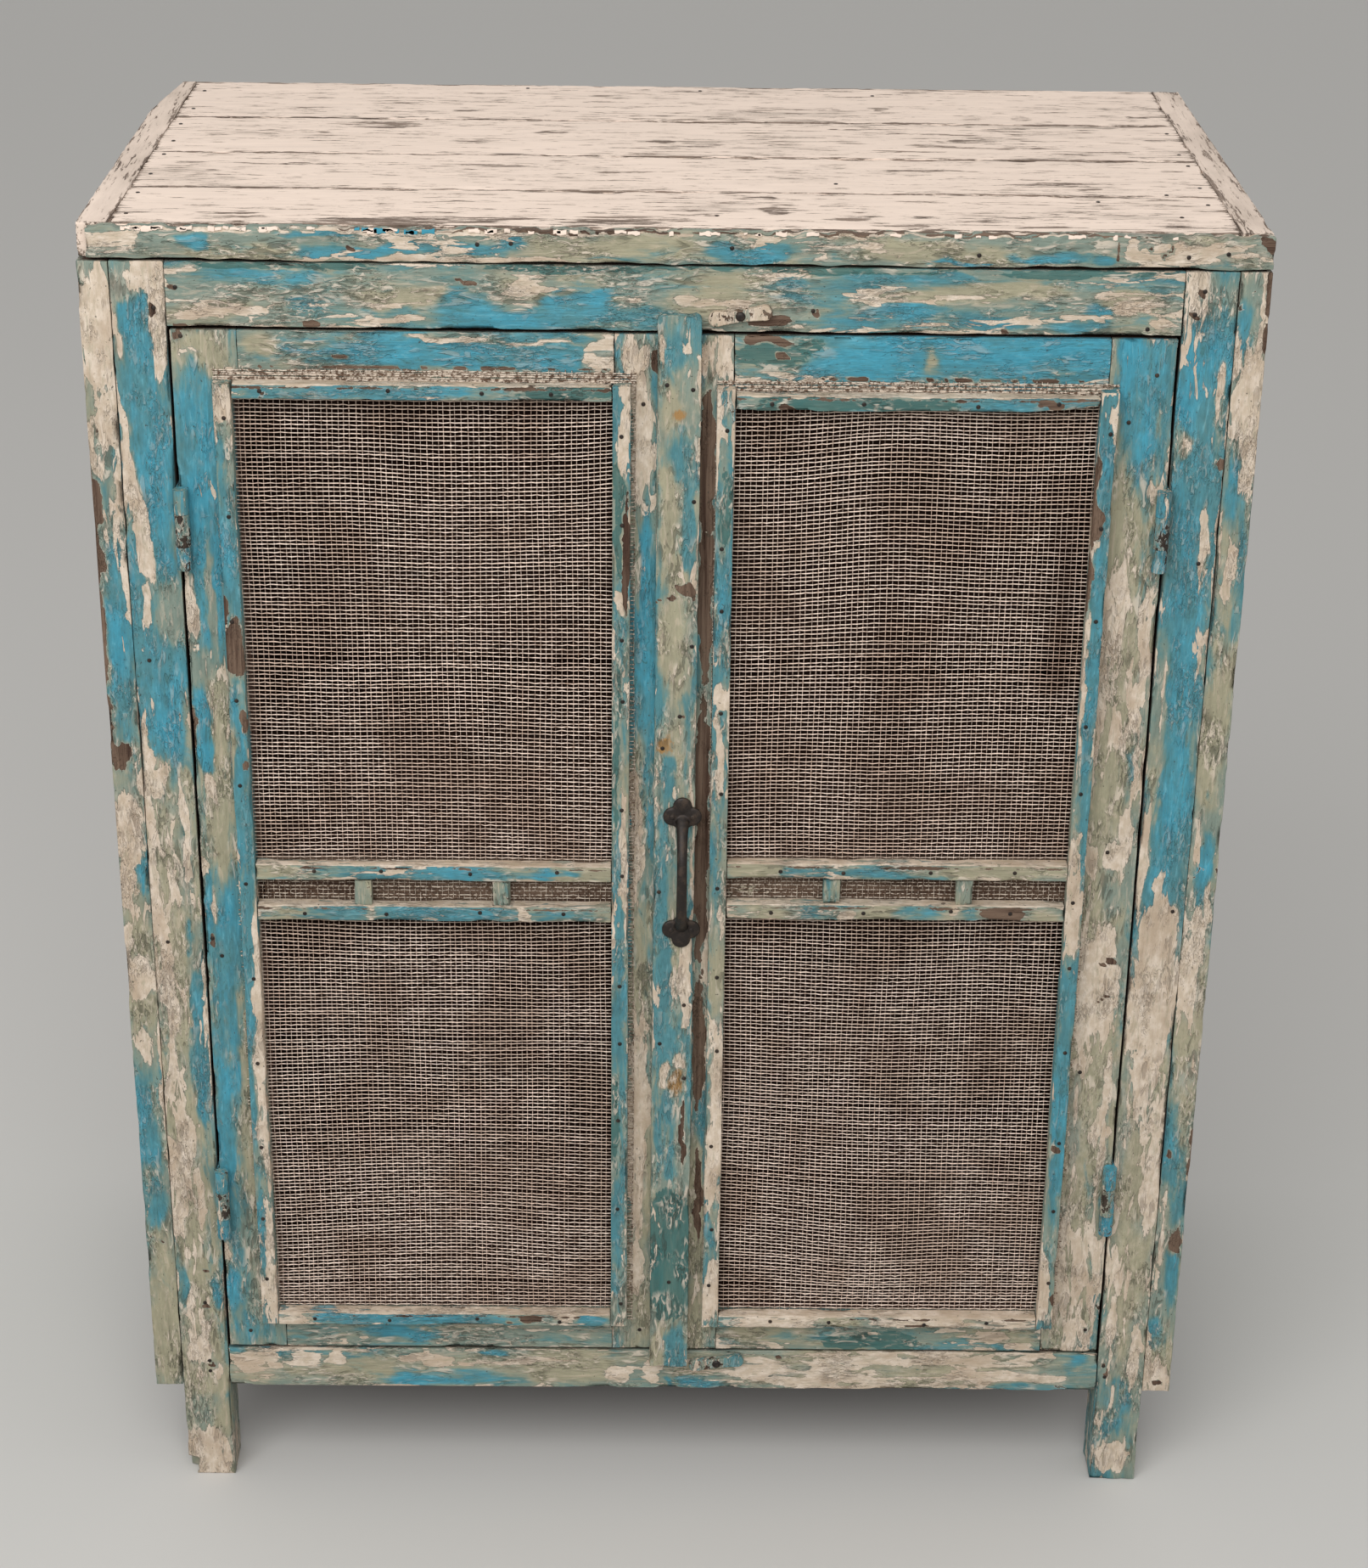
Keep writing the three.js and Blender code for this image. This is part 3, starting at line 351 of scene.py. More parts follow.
class CupboardPaint(bpy.types.PropertyGroup):
    """Colours of the coats, the wood under them and the iron."""

    turquoise: bpy.props.FloatVectorProperty(
        name="Turquoise", description="Bright coat", subtype="COLOR", default=srgb("4190a5"))
    pale_turquoise: bpy.props.FloatVectorProperty(
        name="Pale turquoise", description="Bright coat where it is rubbed", subtype="COLOR",
        default=srgb("7fb4bb"))
    dull_turquoise: bpy.props.FloatVectorProperty(
        name="Dull turquoise", description="Bright coat where it has weathered", subtype="COLOR",
        default=srgb("4d7f86"))
    thin_turquoise: bpy.props.FloatVectorProperty(
        name="Thin turquoise", description="Bright coat where the top coat still veils it", subtype="COLOR",
        default=srgb("64857f"))
    sage: bpy.props.FloatVectorProperty(
        name="Sage", description="Thin grey-green top coat", subtype="COLOR", default=srgb("7b887d"))
    khaki: bpy.props.FloatVectorProperty(
        name="Khaki", description="Top coat where it has yellowed", subtype="COLOR", default=srgb("9a957d"))
    teal: bpy.props.FloatVectorProperty(
        name="Teal", description="Dark old coat", subtype="COLOR", default=srgb("356360"))
    cream: bpy.props.FloatVectorProperty(
        name="Cream", description="Undercoat that shows where the coats have flaked", subtype="COLOR",
        default=srgb("c6b5a0"))
    pale_cream: bpy.props.FloatVectorProperty(
        name="Pale cream", description="Undercoat at its palest", subtype="COLOR", default=srgb("dbccbb"))
    ochre: bpy.props.FloatVectorProperty(
        name="Ochre", description="Resin stains", subtype="COLOR", default=srgb("a2773f"))
    # The flake line colour is painted shade along the outer edges of cream flakes, inside the edges of bare
    # chips and in the furrows of wrinkles; it is also the dark of dirt specks, and darkens the top coat
    # where its wisps are low
    line: bpy.props.FloatVectorProperty(
        name="Flake line", description="Dirt along the edge of a flake", subtype="COLOR",
        default=srgb("3a3a30"))
    whitewash: bpy.props.FloatVectorProperty(
        name="Whitewash", description="Coat of the top", subtype="COLOR", default=srgb("f0dccc"))
    worn_whitewash: bpy.props.FloatVectorProperty(
        name="Worn whitewash", description="Coat of the top where it is thin", subtype="COLOR",
        default=srgb("c6b6a8"))
    wood: bpy.props.FloatVectorProperty(
        name="Wood", description="Bare wood, light grain", subtype="COLOR", default=srgb("756050"))
    dark_wood: bpy.props.FloatVectorProperty(
        name="Dark wood", description="Bare wood, dark grain", subtype="COLOR", default=srgb("3f2a1f"))
    # The inside wood is dark old wood made darker still, as painted shade inside the cupboard; every
    # unpainted place takes it
    inside_wood_with_shade: bpy.props.FloatVectorProperty(
        name="Inside wood", description="Wood inside the cupboard", subtype="COLOR", default=srgb("33201a"))
    netting: bpy.props.FloatVectorProperty(
        name="Netting", description="Pale painted thread", subtype="COLOR", default=srgb("fbe6d6"))
    dull_netting: bpy.props.FloatVectorProperty(
        name="Dull netting", description="Thread where the paint is thin", subtype="COLOR",
        default=srgb("c4aa98"))
    iron: bpy.props.FloatVectorProperty(
        name="Iron", description="Old cast iron", subtype="COLOR", default=srgb("2b2522"))
    rust: bpy.props.FloatVectorProperty(
        name="Rust", description="Brown bloom on the iron", subtype="COLOR", default=srgb("453930"))
    flake_size: bpy.props.FloatProperty(
        name="Flake size", description="Width of a common flake of paint", subtype="DISTANCE",
        default=11 * MM, min=2 * MM)


class CupboardWear(bpy.types.PropertyGroup):
    """How finely the boards are built and how worn they are."""

    fine_cell: bpy.props.FloatProperty(
        name="Fine cell", description="Mesh size on the front and top", subtype="DISTANCE", default=3 * MM,
        min=1 * MM)
    coarse_cell: bpy.props.FloatProperty(
        name="Coarse cell", description="Mesh size on boards that hardly show", subtype="DISTANCE",
        default=8 * MM, min=2 * MM)
    arris_radius: bpy.props.FloatProperty(
        name="Arris radius", description="Rounding of a board's edges", subtype="DISTANCE",
        default=1.1 * MM, min=0.2 * MM)
    chip_depth: bpy.props.FloatProperty(
        name="Chip depth", description="Depth of the chips along the arrises", subtype="DISTANCE",
        default=1.4 * MM, min=0.0)
    dent_depth: bpy.props.FloatProperty(
        name="Dent depth", description="Unevenness of the faces", subtype="DISTANCE",
        default=0.5 * MM, min=0.0)


class CupboardNetting(bpy.types.PropertyGroup):
    """Sizes of the netting's threads."""

    weft_pitch: bpy.props.FloatProperty(
        name="Weft pitch", description="Distance between level threads", subtype="DISTANCE",
        default=3.75 * MM, min=2 * MM)
    warp_pitch: bpy.props.FloatProperty(
        name="Warp pitch", description="Distance between upright threads", subtype="DISTANCE",
        default=4.9 * MM, min=2 * MM)
    weft_radius: bpy.props.FloatProperty(
        name="Weft radius", description="Half thickness of a level thread", subtype="DISTANCE",
        default=0.46 * MM, min=0.2 * MM)
    warp_radius: bpy.props.FloatProperty(
        name="Warp radius", description="Half thickness of an upright thread", subtype="DISTANCE",
        default=0.26 * MM, min=0.2 * MM)


class CupboardStudio(bpy.types.PropertyGroup):
    """Floor, light and camera."""

    floor: bpy.props.FloatVectorProperty(
        name="Floor", description="Colour of the floor", subtype="COLOR", default=srgb("cfcdc9"))
    backdrop: bpy.props.FloatVectorProperty(
        name="Backdrop", description="Colour behind everything", subtype="COLOR", default=srgb("dedddb"))
    sky_strength: bpy.props.FloatProperty(
        name="Sky strength", description="Light from all round", default=0.56, min=0.0)
    lamp_power: bpy.props.FloatProperty(
        name="Lamp power", description="Power of the soft lamp overhead", subtype="POWER",
        default=100.0, min=0.0)
    lens: bpy.props.FloatProperty(
        name="Lens", description="Focal length on a 36 mm long side", unit="CAMERA",
        default=71.32, min=10.0)


# Numbers

def smoothstep(low, high, value):
    """0 below low, 1 above high and a smooth ramp between them."""
    share = np.clip((value - low) / (high - low), 0, 1)
    return share * share * (3 - 2 * share)


LATTICE_SIZE = 32
LATTICE = np.random.default_rng(11).random((LATTICE_SIZE,) * 3)


def smooth_noise(points, size, shift=0.0):
    """Noise from 0 to 1 whose bumps are about size wide, in metres."""
    scaled = points / size + shift
    cell = np.floor(scaled).astype(int)
    part = scaled - cell
    part = part * part * (3 - 2 * part)
    total = np.zeros(len(points))
    for corner in itertools.product((0, 1), repeat=3):
        weight = np.prod(np.where(corner, part, 1 - part), axis=1)
        i, j, k = ((cell + corner) % LATTICE_SIZE).T
        total += weight * LATTICE[i, j, k]
    return total


def seed_of(name):
    """A number that belongs to a piece's name, for its own random draws."""
    return zlib.crc32(name.encode())


# Boards

LAYERS = ("turquoise", "khaki", "teal", "cream", "ochre", "bare")
ARRIS_SHARES = np.array([0.0, 0.3, 0.65])
BROAD_CHANGES = (("turquoise", 0.5, 60 * MM), ("cream", 0.4, 45 * MM), ("bare", 0.2, 70 * MM))
FACE_REACH = 14 * MM
PAINTED_EDGE = (2 * MM, 6 * MM)
# Painted highlight: cream on the top faces of beads and battens, for the light from above, with a darker
# line of the bare coat just below
TOP_LIGHT_DEPTH = 1.8 * MM
TOP_LIGHT_CREAM = 0.8
LINE_BELOW_TOP_LIGHT = 0.44
WEAR_REACH = 5 * MM
CHIP_SIZE, NICK_SIZE, DENT_SIZE = 12 * MM, 4 * MM, 30 * MM
RUBBED_REACH = 3 * MM
RUBBED_SIZE = 22 * MM
EDGE_RUBBING = 0.4
JOINT_DIRT = 0.55
GRAIN_SQUEEZE = 0.4
BROAD_WANDER, NARROW_WANDER = 17, 8
WANDER_ACROSS_GRAIN, WANDER_ALONG_GRAIN = 0.45, 1.3
MIXED_MARKS = {"faint": {"turquoise": 0.5}, "dull": {"turquoise": 0.7},
               "slivers": {"cream": 0.58, "khaki": 0.65, "turquoise": -0.15},
               "teal": {"teal": 1.0, "cream": -0.25}, "ochre": {"ochre": 1.0, "cream": -0.3}}
MARK_EDGES = {"turquoise": (1.45, 0.45), "faint": (1.6, 0.3), "dull": (1.5, 0.4), "slivers": (1.5, 0.5),
              "khaki": (1.8, 0.1), "sage": (1.6, 0.3), "teal": (1.3, 0.6), "cream": (1.35, 0.55),
              "ochre": (1.3, 0.3), "bare": (1.25, 0.7)}
MARK_STRENGTH = 0.9
TOP_MARK_STRENGTH = 0.6


def arris_places(low, high, radius, cell):
    """Grid places across a board: close together at its arrises and even between them."""
    steps = max(1, round((high - low - 2 * radius) / cell))
    inner = np.linspace(low + radius, high - radius, steps + 1)
    return np.concatenate([low + radius * ARRIS_SHARES, inner, high - radius * ARRIS_SHARES[::-1]])


def board_grid(low, high, radius, cell):
    """Points, quads and outward directions of a board with rounded arrises."""
    places = [arris_places(low[axis], high[axis], radius, cell) for axis in range(3)]
    counts = [len(p) for p in places]
    quads = []
    for axis in range(3):
        across, up = (axis + 1) % 3, (axis + 2) % 3
        steps = np.meshgrid(np.arange(counts[across]), np.arange(counts[up]), indexing="ij")
        for end in (0, counts[axis] - 1):
            index = [None, None, None]
            index[axis] = np.full_like(steps[0], end)
            index[across], index[up] = steps
            number = (index[0] * counts[1] + index[1]) * counts[2] + index[2]
            corners = [number[:-1, :-1], number[1:, :-1], number[1:, 1:], number[:-1, 1:]]
            if end == 0:
                corners.reverse()
            quads.append(np.stack([c.ravel() for c in corners], axis=1))
    quads = np.concatenate(quads)
    used, faces = np.unique(quads, return_inverse=True)
    i, rest = np.divmod(used, counts[1] * counts[2])
    j, k = np.divmod(rest, counts[2])
    square = np.stack([places[0][i], places[1][j], places[2][k]], axis=1)
    core = np.clip(square, low + radius, high - radius)
    outward = square - core
    outward /= np.linalg.norm(outward, axis=1, keepdims=True)
    return core + radius * outward, faces.reshape(quads.shape), outward


def closeness_to_arris(points, low, high, reach):
    """1 on the arrises of a board and 0 a few reaches away from them."""
    gaps = np.sort(np.minimum(points - low, high - points), axis=1)
    return np.exp(-(np.maximum(gaps[:, 1], 0) / reach) ** 2)


def squeezed(points, grain):
    """The points drawn together along the grain, so that noise on them is drawn out."""
    along = points.copy()
    along[:, grain] *= GRAIN_SQUEEZE
    return along


def worn(points, outward, low, high, grain, wear, shift):
    """The points with chipped arrises and uneven faces."""
    arris = closeness_to_arris(points, low, high, WEAR_REACH)
    along = squeezed(points, grain)
    chips = smoothstep(0.55, 0.85, smooth_noise(along, CHIP_SIZE, shift))
    nicks = smoothstep(0.62, 0.9, smooth_noise(along, NICK_SIZE, shift))
    dents = smooth_noise(along, DENT_SIZE, shift) - 0.5
    depth = arris * (chips + 0.5 * nicks) * wear.chip_depth + (dents + 0.5) * wear.dent_depth
    return points - outward * depth[:, None]


def broad_changes(points, grain, coat, shift):
    """The board's habit, stronger and weaker from place to place."""
    along = squeezed(points, grain)
    changed = dict(coat)
    for layer, change, size in BROAD_CHANGES:
        if layer in coat:
            changed[layer] = coat[layer] + change * (smooth_noise(along, size, shift + change * 9) - 0.5)
    return changed


def coats(points, flat, depth, coat, marks, full):
    """How strongly each coat shows at each point, from the board's habit and its marks."""
    fields = {layer: np.full(len(points), coat.get(layer, 0.0)) for layer in LAYERS}
    face = smoothstep(FACE_REACH, 0.4 * FACE_REACH, depth)
    for layer, spots in marks.items():
        shares = MIXED_MARKS.get(layer, {layer: 1.0})
        for across, up, half_across, half_up in spots:
            reach = np.hypot((flat[:, 0] - across) / half_across, (flat[:, 1] - up) / half_up)
            strength = face * smoothstep(*MARK_EDGES[layer], reach)
            for other in LAYERS:
                fields[other] *= 1 - strength
            for target, share in shares.items():
                if target in fields:
                    fields[target] += strength * full * share
    return fields


def grain_places(points, grain, name):
    """Coordinates whose third number runs along the grain, shifted so that boards differ."""
    others = [axis for axis in range(3) if axis != grain]
    shift = np.random.default_rng(seed_of(name)).random(3) * 7
    return points[:, [*others, grain]] + shift


def wander(points, shift):
    """How far the outlines of marks wander, in millimetres."""
    broad = smooth_noise(points, 24 * MM, shift) - 0.5
    narrow = smooth_noise(points, 8 * MM, shift) - 0.5
    return broad * BROAD_WANDER + narrow * NARROW_WANDER


def outside_distance(x, z, opening):
    """How far places lie outside an opening, less than nothing inside it."""
    low, high = opening
    return np.maximum.reduce([low.x - x, x - high.x, low.z - z, z - high.z])


def door_opening(door):
    """The opening between the beads of a door."""
    beads = [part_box(f"{door}_{bead}") for bead in ("hinge_bead", "meeting_bead")]
    left, right = sorted(beads, key=lambda box: box[0].x)
    return (Vector((left[1].x, 0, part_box(f"{door}_bottom_bead")[1].z)),
            Vector((right[0].x, 0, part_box(f"{door}_top_bead")[0].z)))


def behind(painted, above=0.0, opening=None):
    """A test for bare places: away from the painted faces and above a height, or in an opening."""
    def share(points):
        depths = [np.abs(points[:, axis] - face) for axis, face in painted.items()]
        found = smoothstep(*PAINTED_EDGE, np.minimum.reduce(depths)) * (points[:, Z] > above)
        if opening:
            outside = outside_distance(points[:, X], points[:, Z], opening)
            found = np.maximum(found, smoothstep(1 * MM, -0.5 * MM, outside))
        return found

    return share


def worn_board(name, low, high, grain, wear, coat, marks=None, on_top=False, cell=None, radius=None,
               shape=None, unpainted=None, pale_top=False):
    """One board as points, quads and named fields. Marks lie on the front, or on the top."""
    low, high = np.array(low, float), np.array(high, float)
    radius = min(radius or wear.arris_radius, 0.3 * (high - low).min())
    points, faces, outward = board_grid(low, high, radius, cell or wear.fine_cell)
    shift = (seed_of(name) % 1000) / 37
    flat = points[:, [0, 1]] - [0, FRONT] if on_top else points[:, [0, 2]]
    depth = high[2] - points[:, 2] if on_top else points[:, 1] - low[1]
    bend = np.stack([wander(points, shift), wander(points, shift + 4)], axis=1)
    bend[:, 0] *= WANDER_ACROSS_GRAIN if grain == Z else WANDER_ALONG_GRAIN
    bend[:, 1] *= WANDER_ALONG_GRAIN if grain == Z else WANDER_ACROSS_GRAIN
    full = TOP_MARK_STRENGTH if on_top else MARK_STRENGTH
    if not on_top:
        coat = broad_changes(points, grain, coat, shift)
    fields = coats(points, flat / MM + bend, depth, coat, marks or {}, full)
    fields["inside"] = unpainted(points) if unpainted else np.zeros(len(points))
    arris = closeness_to_arris(points, low, high, RUBBED_REACH)
    if on_top:
        fields["bare"] += JOINT_DIRT * arris
    else:
        rubbed = smooth_noise(points, RUBBED_SIZE, shift + 2)
        fields["cream"] += EDGE_RUBBING * arris * rubbed
    # Painted highlight on the top face, and a darker line just below it
    if pale_top:
        drop = (high[2] - points[:, 2]) / TOP_LIGHT_DEPTH
        line = smoothstep(0.8, 1.6, drop) * smoothstep(3.4, 2.4, drop)
        fields["cream"] += TOP_LIGHT_CREAM * smoothstep(1, 0, drop)
        fields["bare"] += LINE_BELOW_TOP_LIGHT * line
    place = grain_places(points, grain, name)
    points = worn(points, outward, low, high, grain, wear, shift)
    if shape:
        points = shape(points)
    return points, faces, {**fields, "grain_place": place}


def joined(parts):
    """Several boards as one."""
    points = np.concatenate([p[0] for p in parts])
    starts = np.cumsum([0] + [len(p[0]) for p in parts[:-1]])
    faces = np.concatenate([p[1] + start for p, start in zip(parts, starts)])
    fields = {key: np.concatenate([p[2][key] for p in parts]) for key in parts[0][2]}
    return points, faces, fields


def mesh_of(name, points, faces, fields):
    """A smooth-shaded mesh that carries the fields as attributes of its points."""
    mesh = bpy.data.meshes.new(name)
    mesh.from_pydata(points.tolist(), [], faces.tolist())
    mesh.polygons.foreach_set("use_smooth", np.ones(len(mesh.polygons), bool))
    for key, values in fields.items():
        kind = "FLOAT" if values.ndim == 1 else "FLOAT_VECTOR"
        attribute = mesh.attributes.new(key, kind, "POINT")
        slot = "value" if values.ndim == 1 else "vector"
        attribute.data.foreach_set(slot, values.astype(np.float32).ravel())
    mesh.update()
    return mesh


def add_piece(name, mesh, body, material, replaces=()):
    """A piece of the cupboard that moves with its body and stands for its frame nodes."""
    piece = bpy.data.objects.new(name, mesh)
    bpy.context.scene.collection.objects.link(piece)
    mesh.materials.append(material)
    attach(piece, body)
    if replaces:
        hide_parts(*replaces)
    return piece


# Nodes

class Graph:
    """Adds nodes to one node tree and wires them."""

    def __init__(self, tree):
        self.tree = tree

    def node(self, kind, inputs=None, **settings):
        made = self.tree.nodes.new(kind)
        count = len(self.tree.nodes)
        made.location = (220 * (count % 9), -230 * (count // 9))
        for key, value in settings.items():
            setattr(made, key, value)
        for key, value in (inputs or {}).items():
            self.feed(made.inputs[key], value)
        return made

    def feed(self, socket, value):
        if isinstance(value, bpy.types.NodeSocket):
            self.tree.links.new(value, socket)
        elif hasattr(socket.default_value, "__len__") and len(value) < len(socket.default_value):
            socket.default_value = (*value, 1.0)
        else:
            socket.default_value = value

    def attribute(self, name, output):
        return self.node("ShaderNodeAttribute", attribute_name=name).outputs[output]

    def math(self, operation, first, second=0.0, third=0.0):
        made = self.node("ShaderNodeMath", {0: first, 1: second, 2: third}, operation=operation)
        return made.outputs[0]

    def linear(self, value, factor, offset):
        return self.math("MULTIPLY_ADD", value, factor, offset)

    def weighted(self, first, first_share, second, second_share):
        return self.linear(first, first_share, self.math("MULTIPLY", second, second_share))

    def ramp(self, value, low, high, out_low=0.0, out_high=1.0):
        inputs = {"Value": value, "From Min": low, "From Max": high, "To Min": out_low, "To Max": out_high}
        return self.node("ShaderNodeMapRange", inputs, interpolation_type="SMOOTHSTEP").outputs["Result"]

    def stretched(self, place, stretch, shift=0.0):
        """The place drawn out along the grain and shifted by the same length each way."""
        short = self.node("ShaderNodeVectorMath", {0: place, 1: (1.0, 1.0, 1.0 / stretch)},
                          operation="MULTIPLY")
        moved = self.node("ShaderNodeVectorMath", {0: short.outputs[0], 1: (shift, shift, shift)},
                          operation="ADD")
        return moved.outputs[0]

    def noise(self, place, size, detail=2.0, roughness=0.5, distortion=0.0):
        inputs = {"Vector": place, "Scale": 1 / size, "Detail": detail, "Roughness": roughness,
                  "Distortion": distortion}
        return self.node("ShaderNodeTexNoise", inputs).outputs["Fac"]

    def mix(self, factor, first, second):
        made = self.node("ShaderNodeMix", data_type="RGBA")
        for index, value in ((0, factor), (6, first), (7, second)):
            self.feed(made.inputs[index], value)
        return made.outputs[2]

    def tinted(self, colour, value, low, high, strength, tint):
        """The colour with up to this strength of a tint, as the value runs from low to high."""
        return self.mix(self.ramp(value, low, high, 0.0, strength), colour, tint)

    def part(self, value, share):
        return self.math("MULTIPLY", value, share)

    def ragged(self, field, noise, width):
        """The field with noise added that takes it up and down by half the width."""
        return self.math("ADD", field, self.linear(noise, width, -width / 2))

    def scaled(self, colour, value):
        """The colour made lighter or darker by a value near 1."""
        return self.node("ShaderNodeVectorMath", {0: colour, 3: value}, operation="SCALE").outputs[0]

    def group(self, tree, inputs):
        made = self.node("ShaderNodeGroup", node_tree=tree)
        for key, value in inputs.items():
            self.feed(made.inputs[key], value)
        return made.outputs


def built_once(store, name):
    """Lets a builder give back what it has built before."""
    def wrap(build):
        @functools.wraps(build)
        def found_or_built(*settings):
            return getattr(bpy.data, store).get(name) or build(name, *settings)

        return found_or_built

    return wrap


def new_group(name, inputs, outputs):
    """An empty shader node group with its sockets, as a graph with its input sockets."""
    tree = bpy.data.node_groups.new(name, "ShaderNodeTree")
    for label, kind in inputs:
        tree.interface.new_socket(label, in_out="INPUT", socket_type="NodeSocket" + kind)
    for label, kind in outputs:
        tree.interface.new_socket(label, in_out="OUTPUT", socket_type="NodeSocket" + kind)
    graph = Graph(tree)
    return graph, graph.node("NodeGroupInput").outputs, graph.node("NodeGroupOutput").inputs


@built_once("node_groups", "Flake edge")
def flake_edge_group(name):
    """Where one coat ends at another: a ragged mask, a wide halo, a rim inside it and a line outside."""
    graph, given, out = new_group(
        name,
        [("Place", "Vector"), ("Field", "Float"), ("Flake Scale", "Float"), ("Raggedness", "Float"),
         ("Softness", "Float"), ("Rim Width", "Float")],
        [("Mask", "Float"), ("Halo", "Float"), ("Rim", "Float"), ("Line", "Float")],
    )
    broad = graph.node("ShaderNodeTexNoise", {"Vector": given["Place"], "Detail": 2.0, "Roughness": 0.5})
    graph.feed(broad.inputs["Scale"], graph.math("MULTIPLY", given["Flake Scale"], 0.22))
    fine = graph.node("ShaderNodeTexNoise", {"Vector": given["Place"], "Scale": given["Flake Scale"],
                                             "Detail": 6.0, "Roughness": 0.58, "Distortion": 0.7})
    waves = graph.math("ADD", graph.linear(broad.outputs["Fac"], 1.5, -0.75),
                       graph.linear(fine.outputs["Fac"], 1.5, -0.75))
    value = graph.linear(waves, given["Raggedness"], given["Field"])
    low = graph.math("SUBTRACT", 0.5, given["Softness"])
    high = graph.math("ADD", 0.5, given["Softness"])
    graph.feed(out["Mask"], graph.ramp(value, low, high))
    graph.feed(out["Halo"], graph.ramp(value, 0.14, 0.5))

    def band(middle):
        away = graph.math("ABSOLUTE", graph.math("SUBTRACT", value, middle))
        return graph.ramp(away, given["Rim Width"], 0.0)

    graph.feed(out["Rim"], band(graph.math("ADD", 0.5, given["Rim Width"])))
    graph.feed(out["Line"], band(graph.math("SUBTRACT", 0.5, given["Rim Width"])))
    return graph.tree


@built_once("node_groups", "Weathered wood")
def weathered_wood_group(name):
    """Bare wood with its grain running along the third coordinate."""
    graph, given, out = new_group(
        name,
        [("Place", "Vector"), ("Light Color", "Color"), ("Dark Color", "Color")],
        [("Color", "Color"), ("Height", "Float")],
    )
    bands = graph.noise(graph.stretched(given["Place"], 14), 22 * MM, 3.0, 0.6, 0.6)
    lines = graph.noise(graph.stretched(given["Place"], 30), 2.6 * MM, 3.0, 0.65)
    pores = graph.noise(graph.stretched(given["Place"], 12), 0.9 * MM, 2.0)
    tone = graph.weighted(bands, 0.55, lines, 0.45)
    colour = graph.mix(graph.ramp(tone, 0.36, 0.62), given["Dark Color"], given["Light Color"])
    dark = graph.ramp(lines, 0.40, 0.30, 0.0, 0.55)
    graph.feed(out["Color"], graph.mix(dark, colour, given["Dark Color"]))
    graph.feed(out["Height"], graph.weighted(lines, 0.7, pores, 0.3))
    return graph.tree


@built_once("node_groups", "Brush streaks")
def brush_streaks_group(name):
    """Streaks of brush and weather along the grain, as a value near 1 and a height."""
    graph, given, out = new_group(
        name,
        [("Place", "Vector"), ("Contrast", "Float")],
        [("Value", "Float"), ("Height", "Float")],
    )
    broad = graph.noise(graph.stretched(given["Place"], 7), 12 * MM, 4.0, 0.65)
    fine = graph.noise(graph.stretched(given["Place"], 16), 2.4 * MM, 3.0, 0.65)
    both = graph.weighted(broad, 0.6, fine, 0.4)
    centred = graph.linear(both, 2.0, -1.0)
    graph.feed(out["Value"], graph.linear(centred, given["Contrast"], 1.0))
    graph.feed(out["Height"], fine)
    return graph.tree


@built_once("node_groups", "Wrinkled skin")
def wrinkled_skin_group(name):
    """Wavy ridges of wrinkled paint along the grain, here and there: their height, and masks of their
    crests, for painted highlight, and of their furrows, for painted shade.
    """
    graph, given, out = new_group(
        name,
        [("Place", "Vector")],
        [("Crest Light", "Float"), ("Furrow Shade", "Float"), ("Height", "Float")],
    )
    crests, furrows = [], []
    for size, stretch, shift in ((5.5 * MM, 3.8, 0.0), (2.8 * MM, 3.2, 3.0)):
        folds = graph.noise(graph.stretched(given["Place"], stretch, shift), size, 2.0, 0.5, 1.1)
        patches = graph.noise(graph.stretched(given["Place"], 1.8, shift + 1), 24 * MM, 2.0)
        there = graph.ramp(patches, 0.48, 0.62)
        crests.append(graph.math("MULTIPLY", graph.ramp(folds, 0.53, 0.62), there))
        furrows.append(graph.math("MULTIPLY", graph.ramp(folds, 0.45, 0.38), there))
    graph.feed(out["Crest Light"], graph.math("MAXIMUM", *crests))
    graph.feed(out["Furrow Shade"], graph.math("MAXIMUM", *furrows))
    height = graph.math("SUBTRACT", graph.math("ADD", *crests), graph.math("ADD", *furrows))
    graph.feed(out["Height"], height)
    return graph.tree


def new_material(name):
    """A node material with its surface shader, as a graph and the shader's sockets."""
    material = bpy.data.materials.new(name)
    material.use_nodes = True
    shader = material.node_tree.nodes["Principled BSDF"]
    return material, Graph(material.node_tree), shader.inputs


def finish_surface(graph, shader, colour, height, strength, distance, roughness, specular):
    """Feeds colour, relief and roughness to a surface shader."""
    bump = graph.node("ShaderNodeBump", {"Height": height, "Strength": strength, "Distance": distance})
    graph.feed(shader["Base Color"], colour)
    graph.feed(shader["Normal"], bump.outputs["Normal"])
    graph.feed(shader["Roughness"], roughness)
    shader["Specular IOR Level"].default_value = specular


# Tones of single finishes

AGED_CREAM = srgb("b29d86")
# Painted shade in the furrows of wrinkled cream
CREAM_FURROW_SHADE = srgb("85776a")
WASHED_WOOD = (srgb("8d7a6c"), srgb("4e3f35"))
GRIMY_WASH = srgb("b3a394")
WASH_LINE = srgb("95816f")
WORN_WASH_EDGE = srgb("a89686")
BACK_WOOD = (srgb("8f7f70"), srgb("54453a"))
DUST = srgb("8a7b6c")
BROWN_THREAD = srgb("ab876c")
DIM_THREAD = srgb("76594a")
BARE_THREAD = srgb("6f5848")

# Outline of each coat: stretch along the grain, share of the flake scale, raggedness, softness, rim
# width and shift of its noise
FLAKE_EDGES = {
    "turquoise": (4.6, 1.1, 1.05, 0.2, 0.02, 0.0),
    "teal": (2.0, 1.4, 0.9, 0.06, 0.02, 1.3),
    "cream": (4.6, 1.35, 1.55, 0.03, 0.05, 2.3),
    "bare": (1.6, 1.3, 0.8, 0.012, 0.03, 4.1),
}


def wood_grain(graph, place, light, dark):
    """Bare wood between two tones, as a colour and a height."""
    return graph.group(weathered_wood_group(), {"Place": place, "Light Color": light, "Dark Color": dark})


